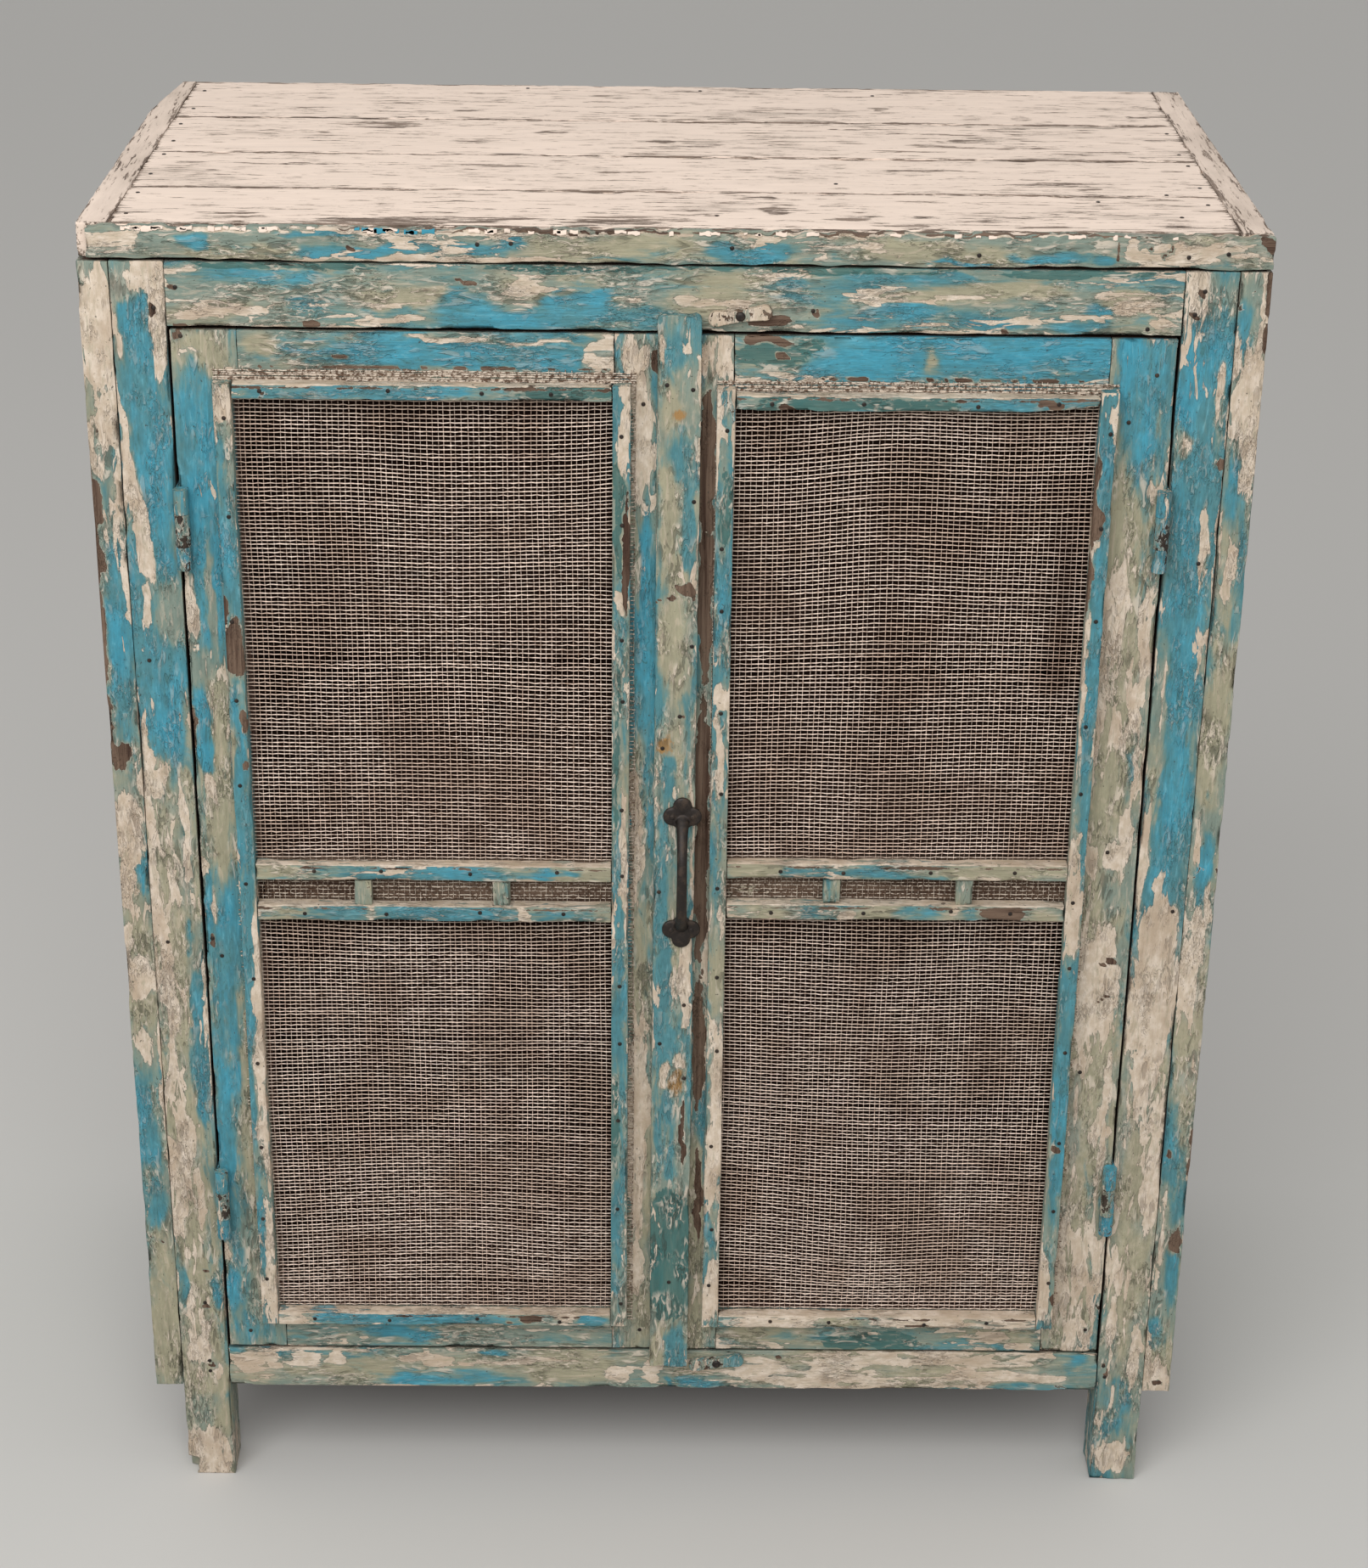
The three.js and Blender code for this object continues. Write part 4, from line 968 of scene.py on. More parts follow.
class PaintedSurface:
    """The patterns that the coats of one surface share, and the colour of each coat."""

    def __init__(self, graph, place, field, paint, flake_scale):
        self.graph = graph
        self.place = place
        self.field = field
        self.paint = paint
        self.flake_scale = flake_scale
        self.streaks = graph.group(brush_streaks_group(), {"Place": place, "Contrast": 0.55})
        self.skin = graph.group(wrinkled_skin_group(), {"Place": place})
        self.blotch = graph.noise(graph.stretched(place, 2.2, 3.1), 30 * MM, 4.0, 0.62)
        self.mottle = graph.noise(graph.stretched(place, 1.7, 5.7), 6 * MM, 5.0, 0.68)
        self.wisps = graph.noise(graph.stretched(place, 5.0, 9.1), 4.5 * MM, 5.0, 0.62, 0.8)

    def edge(self, layer):
        """The outline of one coat."""
        stretch, share, raggedness, softness, rim, shift = FLAKE_EDGES[layer]
        return self.graph.group(flake_edge_group(), {
            "Place": self.graph.stretched(self.place, stretch, shift), "Field": self.field[layer],
            "Flake Scale": self.flake_scale * share, "Raggedness": raggedness, "Softness": softness,
            "Rim Width": rim})

    def top_coat(self):
        """Sage that has yellowed to khaki in places."""
        graph, paint = self.graph, self.paint
        warm = graph.math("ADD", self.field["khaki"], graph.linear(self.blotch, 2.4, -0.95))
        colour = graph.mix(graph.ramp(warm, 0.1, 0.8), paint.sage, paint.khaki)
        colour = graph.scaled(colour, graph.linear(self.mottle, 0.4, 0.82))
        colour = graph.tinted(colour, self.wisps, 0.52, 0.66, 0.4, paint.cream)
        return graph.tinted(colour, self.wisps, 0.40, 0.28, 0.2, paint.line)

    def bright_coat(self, dulled):
        """Turquoise, bright where it lies thick and dull elsewhere."""
        graph, paint = self.graph, self.paint
        thick = graph.weighted(self.blotch, 0.6, self.wisps, 0.4)
        thick = graph.linear(self.field["turquoise"], 0.24, thick)
        bright = graph.ramp(thick, 0.53 + dulled, 0.81 + dulled)
        colour = graph.mix(bright, paint.dull_turquoise, paint.turquoise)
        colour = graph.tinted(colour, self.wisps, 0.56, 0.7, 0.35, paint.pale_turquoise)
        colour = graph.tinted(colour, self.wisps, 0.42, 0.30, 0.5, paint.teal)
        return graph.scaled(colour, graph.linear(self.mottle, 0.7, 0.66))

    def undercoat(self):
        """Cream with aged patches, painted highlight on the crests of its wrinkles and painted shade in
        their furrows.
        """
        graph, paint = self.graph, self.paint
        colour = graph.mix(graph.ramp(self.mottle, 0.38, 0.66), paint.cream, paint.pale_cream)
        colour = graph.tinted(colour, self.blotch, 0.44, 0.62, 0.65, AGED_CREAM)
        colour = graph.tinted(colour, self.wisps, 0.48, 0.32, 0.45, paint.khaki)
        colour = graph.scaled(colour, graph.linear(self.streaks["Value"], 0.4, 0.6))
        # Painted shade in the furrows and painted highlight on the crests of the wrinkles
        colour = graph.mix(graph.part(self.skin["Furrow Shade"], 0.5), colour, CREAM_FURROW_SHADE)
        return graph.mix(graph.part(self.skin["Crest Light"], 0.5), colour, paint.pale_cream)

    def upper_coats(self, dulled):
        """The top coat, turquoise where it has gone, stains, and painted highlight and painted shade on the
        crests and furrows of old paint.
        """
        graph, paint = self.graph, self.paint
        turquoise, teal = self.edge("turquoise"), self.edge("teal")
        colour = graph.mix(graph.part(turquoise["Halo"], 0.75), self.top_coat(), paint.thin_turquoise)
        colour = graph.mix(turquoise["Mask"], colour, self.bright_coat(dulled))
        colour = graph.mix(graph.part(teal["Mask"], 0.85), colour, paint.teal)
        colour = graph.scaled(colour, self.streaks["Value"])
        stain = graph.ragged(self.field["ochre"], self.mottle, 2.2)
        colour = graph.tinted(colour, stain, 0.3, 0.9, 0.85, paint.ochre)
        quiet = graph.linear(turquoise["Mask"], -0.7, 1.0)
        # Painted highlight on the crests and painted shade in the furrows of the wrinkles, less on turquoise
        for side, strength, tone in (("Crest Light", 0.62, paint.pale_cream), ("Furrow Shade", 0.5, paint.line)):
            share = graph.math("MULTIPLY", self.skin[side], graph.part(quiet, strength))
            colour = graph.mix(share, colour, tone)
        return colour

    def relief(self, cream, bare):
        """The height of the surface: lower where coats are gone, with skin, wisps and streaks on it."""
        graph = self.graph
        height = graph.linear(bare, -0.5, graph.linear(cream, -0.3, 1.0))
        height = graph.linear(self.skin["Height"], 0.6, height)
        height = graph.linear(self.wisps, 0.6, height)
        return graph.linear(self.streaks["Height"], 0.5, height)


def paint_material(name, paint, flake_share=1.0, coat=None, dulled=0.0, on_iron=False):
    """Old coats over wood or iron: sage or khaki on top, turquoise and cream where it has gone.

    Without a coat the fields come from the mesh; with one they are the same all over.
    """
    found = bpy.data.materials.get(name)
    if found:
        return found
    material, graph, shader = new_material(name)
    if coat is None:
        place = graph.attribute("grain_place", "Vector")
        field = {layer: graph.attribute(layer, "Fac") for layer in LAYERS}
    else:
        place = graph.node("ShaderNodeTexCoord").outputs["Object"]
        field = {layer: coat.get(layer, 0.0) for layer in LAYERS}
    surface = PaintedSurface(graph, place, field, paint, 1 / (paint.flake_size * flake_share))
    cream, bare = surface.edge("cream"), surface.edge("bare")

    pale = surface.undercoat()
    haze = graph.ragged(field["cream"], surface.mottle, 1.6)
    colour = graph.tinted(surface.upper_coats(dulled), haze, 0.35, 0.8, 0.22, pale)
    # Painted shade along the outer edge of each cream flake
    colour = graph.mix(graph.part(cream["Line"], 0.3), colour, paint.line)
    colour = graph.mix(cream["Mask"], colour, pale)
    colour = graph.mix(graph.part(cream["Rim"], 0.45), colour, paint.pale_cream)

    tones = (paint.rust, paint.iron) if on_iron else (paint.wood, paint.dark_wood)
    colour = graph.mix(graph.part(bare["Line"], 0.5), colour, paint.pale_cream)
    colour = graph.mix(bare["Mask"], colour, wood_grain(graph, place, *tones)["Color"])
    # Painted shade along the inside edge of each bare chip
    colour = graph.mix(graph.part(bare["Rim"], 0.6), colour, paint.line)
    specks = graph.noise(graph.stretched(place, 1.4, 8.3), 2.2 * MM, 2.0)
    colour = graph.tinted(colour, specks, 0.68, 0.74, 0.75, paint.line)
    if coat is None:
        # Unpainted places take the inside wood, dark old wood with painted shade in its tone
        unpainted = wood_grain(graph, place, paint.inside_wood_with_shade, paint.dark_wood)
        colour = graph.mix(graph.attribute("inside", "Fac"), colour, unpainted["Color"])
    finish_surface(graph, shader, colour, surface.relief(cream["Mask"], bare["Mask"]), 1.0, 1.3 * MM,
                   graph.linear(surface.mottle, 0.35, 0.48), 0.28)
    return material


@built_once("materials", "Whitewashed boards")
def whitewash_material(name, paint):
    """Thin pinkish whitewash on boards, worn through to dark grain in streaks."""
    material, graph, shader = new_material(name)
    place = graph.attribute("grain_place", "Vector")
    streaks = graph.group(brush_streaks_group(), {"Place": place, "Contrast": 0.22})
    wood = wood_grain(graph, place, *WASHED_WOOD)
    blotch = graph.noise(graph.stretched(place, 3.0, 2.9), 60 * MM, 4.0, 0.6)
    thin = graph.noise(graph.stretched(place, 16, 5.3), 7 * MM, 4.0, 0.65)
    lines = graph.noise(graph.stretched(place, 34, 7.7), 1.9 * MM, 4.0, 0.7)
    splinters = graph.noise(graph.stretched(place, 11, 3.7), 3.6 * MM, 7.0, 0.74)

    worn_share = graph.weighted(blotch, 0.6, thin, 0.5)
    colour = graph.mix(graph.ramp(worn_share, 0.57, 0.78), paint.whitewash, paint.worn_whitewash)
    colour = graph.scaled(colour, streaks["Value"])
    grimy = graph.ragged(graph.attribute("khaki", "Fac"), blotch, 1.6)
    colour = graph.tinted(colour, grimy, 0.1, 0.9, 0.75, GRIMY_WASH)
    colour = graph.tinted(colour, lines, 0.62, 0.72, 0.45, WASH_LINE)
    bare = graph.ragged(graph.ragged(graph.attribute("bare", "Fac"), blotch, 1.3), splinters, 5.0)
    colour = graph.tinted(colour, bare, 0.25, 0.52, 0.35, WORN_WASH_EDGE)
    mask = graph.ramp(bare, 0.49, 0.54)
    colour = graph.mix(graph.part(mask, 0.92), colour, wood["Color"])
    blue = graph.ramp(graph.attribute("turquoise", "Fac"), 0.4, 0.5)
    colour = graph.mix(blue, colour, paint.turquoise)
    height = graph.weighted(mask, -0.8, wood["Height"], 0.9)
    finish_surface(graph, shader, colour, height, 0.7, 0.5 * MM, graph.linear(thin, 0.3, 0.6), 0.2)
    return material


@built_once("materials", "Bare boards")
def wood_material(name, paint):
    """Bare boards inside and behind."""
    material, graph, shader = new_material(name)
    place = graph.attribute("grain_place", "Vector")
    # The inside boards are dark old wood, darkened further as painted shade inside the cupboard
    wood = wood_grain(graph, place, paint.inside_wood_with_shade, paint.dark_wood)
    weathered = wood_grain(graph, place, *BACK_WOOD)
    dust = graph.noise(graph.stretched(place, 4.0, 1.1), 40 * MM, 5.0, 0.7)
    colour = graph.tinted(wood["Color"], dust, 0.55, 0.85, 0.15, DUST)
    outside = graph.scaled(weathered["Color"], graph.linear(dust, 1.2, 0.35))
    colour = graph.mix(graph.attribute("inside", "Fac"), colour, outside)
    finish_surface(graph, shader, colour, wood["Height"], 0.7, 0.6 * MM, graph.linear(dust, 0.3, 0.62), 0.2)
    return material


@built_once("materials", "Painted netting")
def netting_material(name, paint):
    """Coarse thread with old paint caught on it."""
    material, graph, shader = new_material(name)
    place = graph.node("ShaderNodeTexCoord").outputs["Object"]
    broad = graph.noise(place, 70 * MM, 3.0, 0.6)
    fine = graph.noise(place, 3.2 * MM, 3.0, 0.7)
    tone = graph.weighted(broad, 0.25, fine, 0.75)
    colour = graph.mix(graph.ramp(tone, 0.34, 0.52), paint.dull_netting, paint.netting)
    colour = graph.tinted(colour, broad, 0.42, 0.62, 0.45, BROWN_THREAD)
    # Darker threads: all warps a little, and the listed patches more
    colour = graph.mix(graph.attribute("dim", "Fac"), colour, DIM_THREAD)
    caught = graph.mix(graph.ramp(fine, 0.42, 0.56), BARE_THREAD, paint.pale_cream)
    colour = graph.mix(graph.attribute("painted", "Fac"), colour, caught)
    finish_surface(graph, shader, colour, fine, 0.5, 0.3 * MM, graph.linear(fine, 0.2, 0.75), 0.15)
    return material


@built_once("materials", "Old iron")
def iron_material(name, paint):
    """Cast iron with a brown bloom, rubbed darker and smoother where hands go."""
    material, graph, shader = new_material(name)
    place = graph.node("ShaderNodeTexCoord").outputs["Object"]
    bloom = graph.noise(place, 9 * MM, 5.0, 0.65)
    grit = graph.noise(place, 0.9 * MM, 3.0, 0.6)
    colour = graph.mix(graph.ramp(bloom, 0.48, 0.66), paint.iron, paint.rust)
    roughness = graph.ramp(bloom, 0.35, 0.65, 0.3, 0.6)
    finish_surface(graph, shader, colour, graph.linear(grit, 0.6, bloom), 0.6, 0.35 * MM, roughness, 0.5)
    shader["Metallic"].default_value = 0.55
    return material


# Shapes of single pieces

FOOT_BREAK_HEIGHT = 21 * MM
FOOT_BREAK_DEPTH = 15 * MM
FOOT_BREAK_WIDTH = 9 * MM
FOOT_BREAK_SLOPE = 0.14
CLEAT_TAPER_LENGTH = 130 * MM
CLEAT_TAPER = 14 * MM
BEAD_THINNING_START = 0.25
BEAD_THINNING = 6 * MM
STRIP_CORNER = 5 * MM


def broken_foot(points):
    """The outer front corner of the left foot is gone."""
    ragged = (smooth_noise(points, 5 * MM) - 0.5) * 3 * MM
    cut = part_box("front_left_post")[0].x + FOOT_BREAK_WIDTH + points[:, 2] * FOOT_BREAK_SLOPE + ragged
    low_front = (points[:, 2] < FOOT_BREAK_HEIGHT) & (points[:, 1] < FRONT + FOOT_BREAK_DEPTH)
    gone = low_front & (points[:, 0] < cut)
    points[gone, 0] = cut[gone]
    return points


def tapered_cleat(points):
    """The left cleat is worn to a taper towards the back."""
    low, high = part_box("top_left_cleat")
    start = high.y - CLEAT_TAPER_LENGTH
    share = np.clip((points[:, 1] - start) / (high.y - start), 0, 1)
    edge = low.x + share * CLEAT_TAPER
    left = points[:, 0] < (low.x + high.x) / 2
    points[left, 0] = np.maximum(points[left, 0], edge[left])
    return points


def ragged_lath(points):
    """The lath's lower edge is uneven and its upper one is splintered."""
    low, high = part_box("top_front_lath")
    line = points * [1, 0, 0]
    share = (points[:, 2] - low.z) / (high.z - low.z)
    lower = smooth_noise(line, 16 * MM) * 1.6 * MM + smooth_noise(line, 60 * MM) * 1.8 * MM
    upper = smoothstep(0.45, 0.8, smooth_noise(line, 11 * MM, 3.0)) * 2.2 * MM
    splinters = smoothstep(0.4, 0.8, smooth_noise(line, 9 * MM, 6.0)) * 2 * MM
    points[:, 2] += smoothstep(0.3, 0.0, share) * lower - smoothstep(0.75, 1.0, share) * upper
    points[:, 1] += smoothstep(0.8, 1.0, share) * splinters
    return points


def warped_top_bead(points):
    """The right door's top bead thins towards its outer end."""
    low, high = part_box("right_door_top_bead")
    along = np.clip((points[:, 0] - BEAD_THINNING_START) / (high.x - BEAD_THINNING_START), 0, 1)
    share = (high.z - points[:, 2]) / (high.z - low.z)
    points[:, 2] += along * along * share * BEAD_THINNING
    return points


def rounded_strip(points):
    """The cover strip's upper corners are rounded off."""
    low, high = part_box("cover_strip")
    near = np.minimum(points[:, 0] - low.x, high.x - points[:, 0])
    drop = np.clip(STRIP_CORNER - near, 0, STRIP_CORNER)
    fall = STRIP_CORNER - np.sqrt(STRIP_CORNER ** 2 - drop ** 2)
    points[:, 2] -= fall * smoothstep(high.z - 3 * STRIP_CORNER, high.z, points[:, 2])
    return points


# Pieces

CASE_COAT = {"turquoise": 0.3, "cream": 0.08, "bare": 0.05}
RIGHT_POST_COAT = {**CASE_COAT, "cream": 0.14}
DOOR_COAT = {"turquoise": 0.34, "cream": 0.04, "bare": 0.05}
PALE_STILE_COAT = {"turquoise": 0.26, "cream": 0.22, "bare": 0.05, "khaki": 0.15}
MID_RAIL_COAT = {"bare": 0.8, "cream": 0.38, "khaki": 0.8, "turquoise": -0.3}
BEAD_COAT = {"turquoise": 0.36, "cream": 0.14, "bare": 0.12}
BATTEN_COAT = {"turquoise": 0.26, "cream": -0.06, "bare": 0.16, "khaki": 0.1}
STRIP_COAT = {"turquoise": 0.42, "cream": 0.1, "bare": 0.05}
LATH_COAT = {"cream": -0.05}
TOP_COAT = {"bare": 0.03}
CLEAT_COAT = {"bare": 0.03, "khaki": 0.5}
INSIDE_COAT = {}
BUTTON_COATS = {"top_turn_button": {"cream": 0.8, "bare": 0.36},
                "bottom_turn_button": {"cream": 0.4, "turquoise": 0.3, "bare": 0.3}}
LEAF_COATS = {"frame_leaf": {"turquoise": 0.75, "bare": 0.22},
              "door_leaf": {"turquoise": 0.5, "bare": 0.42}}

DOORS = ("left_door", "right_door")
DOOR_MEMBERS = (("hinge_stile", Z), ("meeting_stile", Z), ("top_rail", X), ("bottom_rail", X))
DOOR_BEADS = (("hinge_bead", Z), ("meeting_bead", Z), ("top_bead", X), ("bottom_bead", X))
STILE_REACH = 1.2 * MM
PLANK_GAP = 0.6 * MM
SIDE_PLANKS = 4
SIDE_CELL = 5 * MM
BACK_BOARDS = 6
INNER_BOARD_WIDTH = 130 * MM
TOP_JOINT = Vector((0, 0.5 * MM, 0))
TOP_RADIUS = 0.7 * MM
LATH_CELL = 2.5 * MM
STRIP_CELL = 2 * MM
DOOR_RADIUS = 0.8 * MM
MID_RAIL_RADIUS = 1.0 * MM
BEAD_CELL = 2.2 * MM
BEAD_RADIUS = 1.2 * MM
# Battens get painted highlight on their tops
BATTEN_FINISH = {"cell": BEAD_CELL, "radius": 1.4 * MM, "pale_top": True}
BLOCK_SHARES = (0.3, 0.69)
BLOCK_HALF_WIDTH = 8 * MM
CHIP_COUNT = 60
BLUE_CHIPS_FROM, BLUE_CHIPS_TO, BLUE_CHIP_SHARE = -0.34, -0.2, 0.45


def board_piece(context, node, body, grain, material, slot, coat, **options):
    """A worn board that stands for the frame's node of the same name.

    A hinge stile reaches a little further out, which narrows the joint beside the post.
    """
    low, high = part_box(node)
    if node.endswith("hinge_stile"):
        outer = low if node.startswith("left") else high
        outer.x += math.copysign(STILE_REACH, outer.x)
    part = worn_board(node, low, high, grain, context.scene.cupboard_wear, coat,
                      FRONT_MARKS.get(node), **options)
    return add_piece("worn_" + node, mesh_of(node, *part), body, material, [node])


def plank_piece(context, node, body, across, grain, count, material, slot, coat, **options):
    """A panel of planks side by side that stands for one frame node."""
    low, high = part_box(node)
    wear = context.scene.cupboard_wear
    width = (high[across] - low[across]) / count
    parts = []
    for i in range(count):
        start, end = low.copy(), high.copy()
        start[across] = low[across] + i * width
        end[across] = start[across] + width - PLANK_GAP
        marks = FRONT_MARKS.get(node) if start.y < FRONT + 1 * MM else None
        parts.append(worn_board(f"{node}{i}", start, end, grain, wear, coat, marks, **options))
    return add_piece("worn_" + node, mesh_of(node, *joined(parts)), body, material, [node])


# Floor, light and camera

FLOOR_REACH = 30.0
LAMP_SIZE = (3.4, 2.6)
LAMP_PLACE = (-0.7, -2.8, 3.1)
LAMP_AIM = Vector((0, 0, 0.6))
CAMERA_PITCH = math.radians(24.88)
CAMERA_YAW = math.radians(0.55)
CAMERA_ROLL = math.radians(0.73)
CAMERA_PLACE = Vector((-0.01161, FRONT - 2.53074, 1.93831))


class CUPBOARD_OT_stage(bpy.types.Operator):
    """Lay the floor, light the room and place the camera."""

    bl_idname = "cupboard.stage"
    bl_label = "Stage"

    def execute(self, context):
        studio = context.scene.cupboard_studio
        add_floor(studio)
        add_light(context, studio)
        add_camera(context, studio)
        context.scene.view_settings.view_transform = "Standard"
        return {"FINISHED"}


def add_floor(studio):
    """A plain pale floor."""
    corners = [(x * FLOOR_REACH, y * FLOOR_REACH, 0) for x, y in ((-1, -1), (1, -1), (1, 1), (-1, 1))]
    mesh = bpy.data.meshes.new("floor")
    mesh.from_pydata(corners, [], [(0, 1, 2, 3)])
    floor = bpy.data.objects.new("floor", mesh)
    bpy.context.scene.collection.objects.link(floor)
    material, _, shader = new_material("Studio floor")
    shader["Base Color"].default_value = (*studio.floor, 1)
    shader["Roughness"].default_value = 0.9
    shader["Specular IOR Level"].default_value = 0.1
    mesh.materials.append(material)


def add_light(context, studio):
    """Even light from all round and one large soft lamp overhead, a little to the front."""
    world = context.scene.world or bpy.data.worlds.new("Studio")
    context.scene.world = world
    world.use_nodes = True
    world.node_tree.nodes.clear()
    graph = Graph(world.node_tree)
    rays = graph.node("ShaderNodeLightPath").outputs
    mirrored = graph.math("MAXIMUM", rays["Is Glossy Ray"], rays["Is Transmission Ray"])
    seen = graph.math("MAXIMUM", rays["Is Camera Ray"], mirrored)
    sky = graph.node("ShaderNodeBackground", {"Color": (1.0, 1.0, 1.0), "Strength": studio.sky_strength})
    backdrop = graph.node("ShaderNodeBackground", {"Color": studio.backdrop, "Strength": 1.0})
    both = graph.node("ShaderNodeMixShader", {0: seen, 1: sky.outputs[0], 2: backdrop.outputs[0]})
    graph.node("ShaderNodeOutputWorld", {"Surface": both.outputs[0]})
    data = bpy.data.lights.new("softbox", "AREA")
    data.shape = "RECTANGLE"
    data.size, data.size_y = LAMP_SIZE
    data.energy = studio.lamp_power
    lamp = bpy.data.objects.new("softbox", data)
    context.scene.collection.objects.link(lamp)
    lamp.location = LAMP_PLACE
    lamp.rotation_euler = (LAMP_AIM - lamp.location).to_track_quat("-Z", "Y").to_euler()


def add_camera(context, studio):
    """The camera at the photographed viewpoint."""
    forward = math.cos(CAMERA_PITCH)
    ahead = Vector((math.sin(CAMERA_YAW) * forward, math.cos(CAMERA_YAW) * forward, -math.sin(CAMERA_PITCH)))
    level = ahead.cross(Vector((0, 0, 1))).normalized()
    upright = level.cross(ahead)
    right = level * math.cos(CAMERA_ROLL) + upright * math.sin(CAMERA_ROLL)
    up = upright * math.cos(CAMERA_ROLL) - level * math.sin(CAMERA_ROLL)
    data = bpy.data.cameras.new("camera")
    data.lens = studio.lens
    data.sensor_width = 36
    data.clip_start, data.clip_end = 0.05, 100
    camera = bpy.data.objects.new("camera", data)
    context.scene.collection.objects.link(camera)
    turn = Matrix((right, up, -ahead)).transposed()
    camera.matrix_world = Matrix.Translation(CAMERA_PLACE) @ turn.to_4x4()
    context.scene.camera = camera


# Boards of the case, the top and the doors

class CUPBOARD_OT_case(bpy.types.Operator):
    """Build the posts, the two front rails, the side planks and the back."""

    bl_idname = "cupboard.case"
    bl_label = "Case"

    def execute(self, context):
        scene = context.scene
        coarse = scene.cupboard_wear.coarse_cell
        paint = paint_material("Case paint", scene.cupboard_paint, dulled=0.05)
        wood = wood_material(scene.cupboard_paint)
        post_inside = behind({Y: FRONT}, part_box("front_bottom_rail")[0].z)
        board_piece(context, "front_left_post", "case", Z, paint, "case_paint", CASE_COAT,
                    shape=broken_foot, unpainted=post_inside)
        board_piece(context, "front_right_post", "case", Z, paint, "case_paint", RIGHT_POST_COAT,
                    unpainted=post_inside)
        for node in ("back_left_post", "back_right_post"):
            board_piece(context, node, "case", Z, paint, "case_paint", CASE_COAT, cell=coarse,
                        unpainted=post_inside)
        for node in ("front_top_rail", "front_bottom_rail"):
            self.rail(context, node, paint)
        for node, outer in (("left_side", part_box("left_side")[0].x), ("right_side", SIDE)):
            plank_piece(context, node, "case", Y, Z, SIDE_PLANKS, paint, "case_paint", CASE_COAT,
                        cell=SIDE_CELL, unpainted=behind({X: outer, Y: FRONT}))
        plank_piece(context, "back_panel", "case", Z, X, BACK_BOARDS, wood, "bare_wood", INSIDE_COAT,
                    cell=coarse, unpainted=behind({Y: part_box("back_panel")[0].y}))
        return {"FINISHED"}

    def rail(self, context, node, paint):
        """A rail's node also holds the turn button's screw, which stands out in front."""
        low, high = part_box(node)
        low.y = FRONT
        part = worn_board(node, low, high, X, context.scene.cupboard_wear, CASE_COAT, FRONT_MARKS[node],
                          unpainted=behind({Y: FRONT}))
        add_piece("worn_" + node, mesh_of(node, *part), "case", paint, [node])


class CUPBOARD_OT_inside(bpy.types.Operator):
    """Build the floor, the shelf and the ledgers that carry them."""

    bl_idname = "cupboard.inside"
    bl_label = "Inside"

    def execute(self, context):
        wear = context.scene.cupboard_wear
        wood = wood_material(context.scene.cupboard_paint)
        between_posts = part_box("front_right_post")[0].x - 1 * MM
        post_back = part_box("front_left_post")[1].y
        back_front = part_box("back_left_post")[0].y
        for node in ("floor_boards", "shelf"):
            low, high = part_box(node)
            strips = [(low.y, post_back, between_posts),
                      (post_back + 1 * MM, back_front - 1 * MM, high.x),
                      (back_front, high.y, between_posts)]
            parts = []
            for near, far, half in strips:
                count = max(1, round((far - near) / INNER_BOARD_WIDTH))
                width = (far - near) / count
                for i in range(count):
                    start = (-half, near + i * width, low.z)
                    end = (half, near + (i + 1) * width - PLANK_GAP, high.z)
                    parts.append(worn_board(f"{node}{near}{i}", start, end, X, wear, INSIDE_COAT,
                                            cell=wear.coarse_cell))
            add_piece("worn_" + node, mesh_of(node, *joined(parts)), "case", wood, [node])
        for level, side in itertools.product(("floor", "shelf"), ("left", "right")):
            board_piece(context, f"{side}_{level}_ledger", "case", Y, wood, "bare_wood", INSIDE_COAT,
                        cell=wear.coarse_cell)
        return {"FINISHED"}


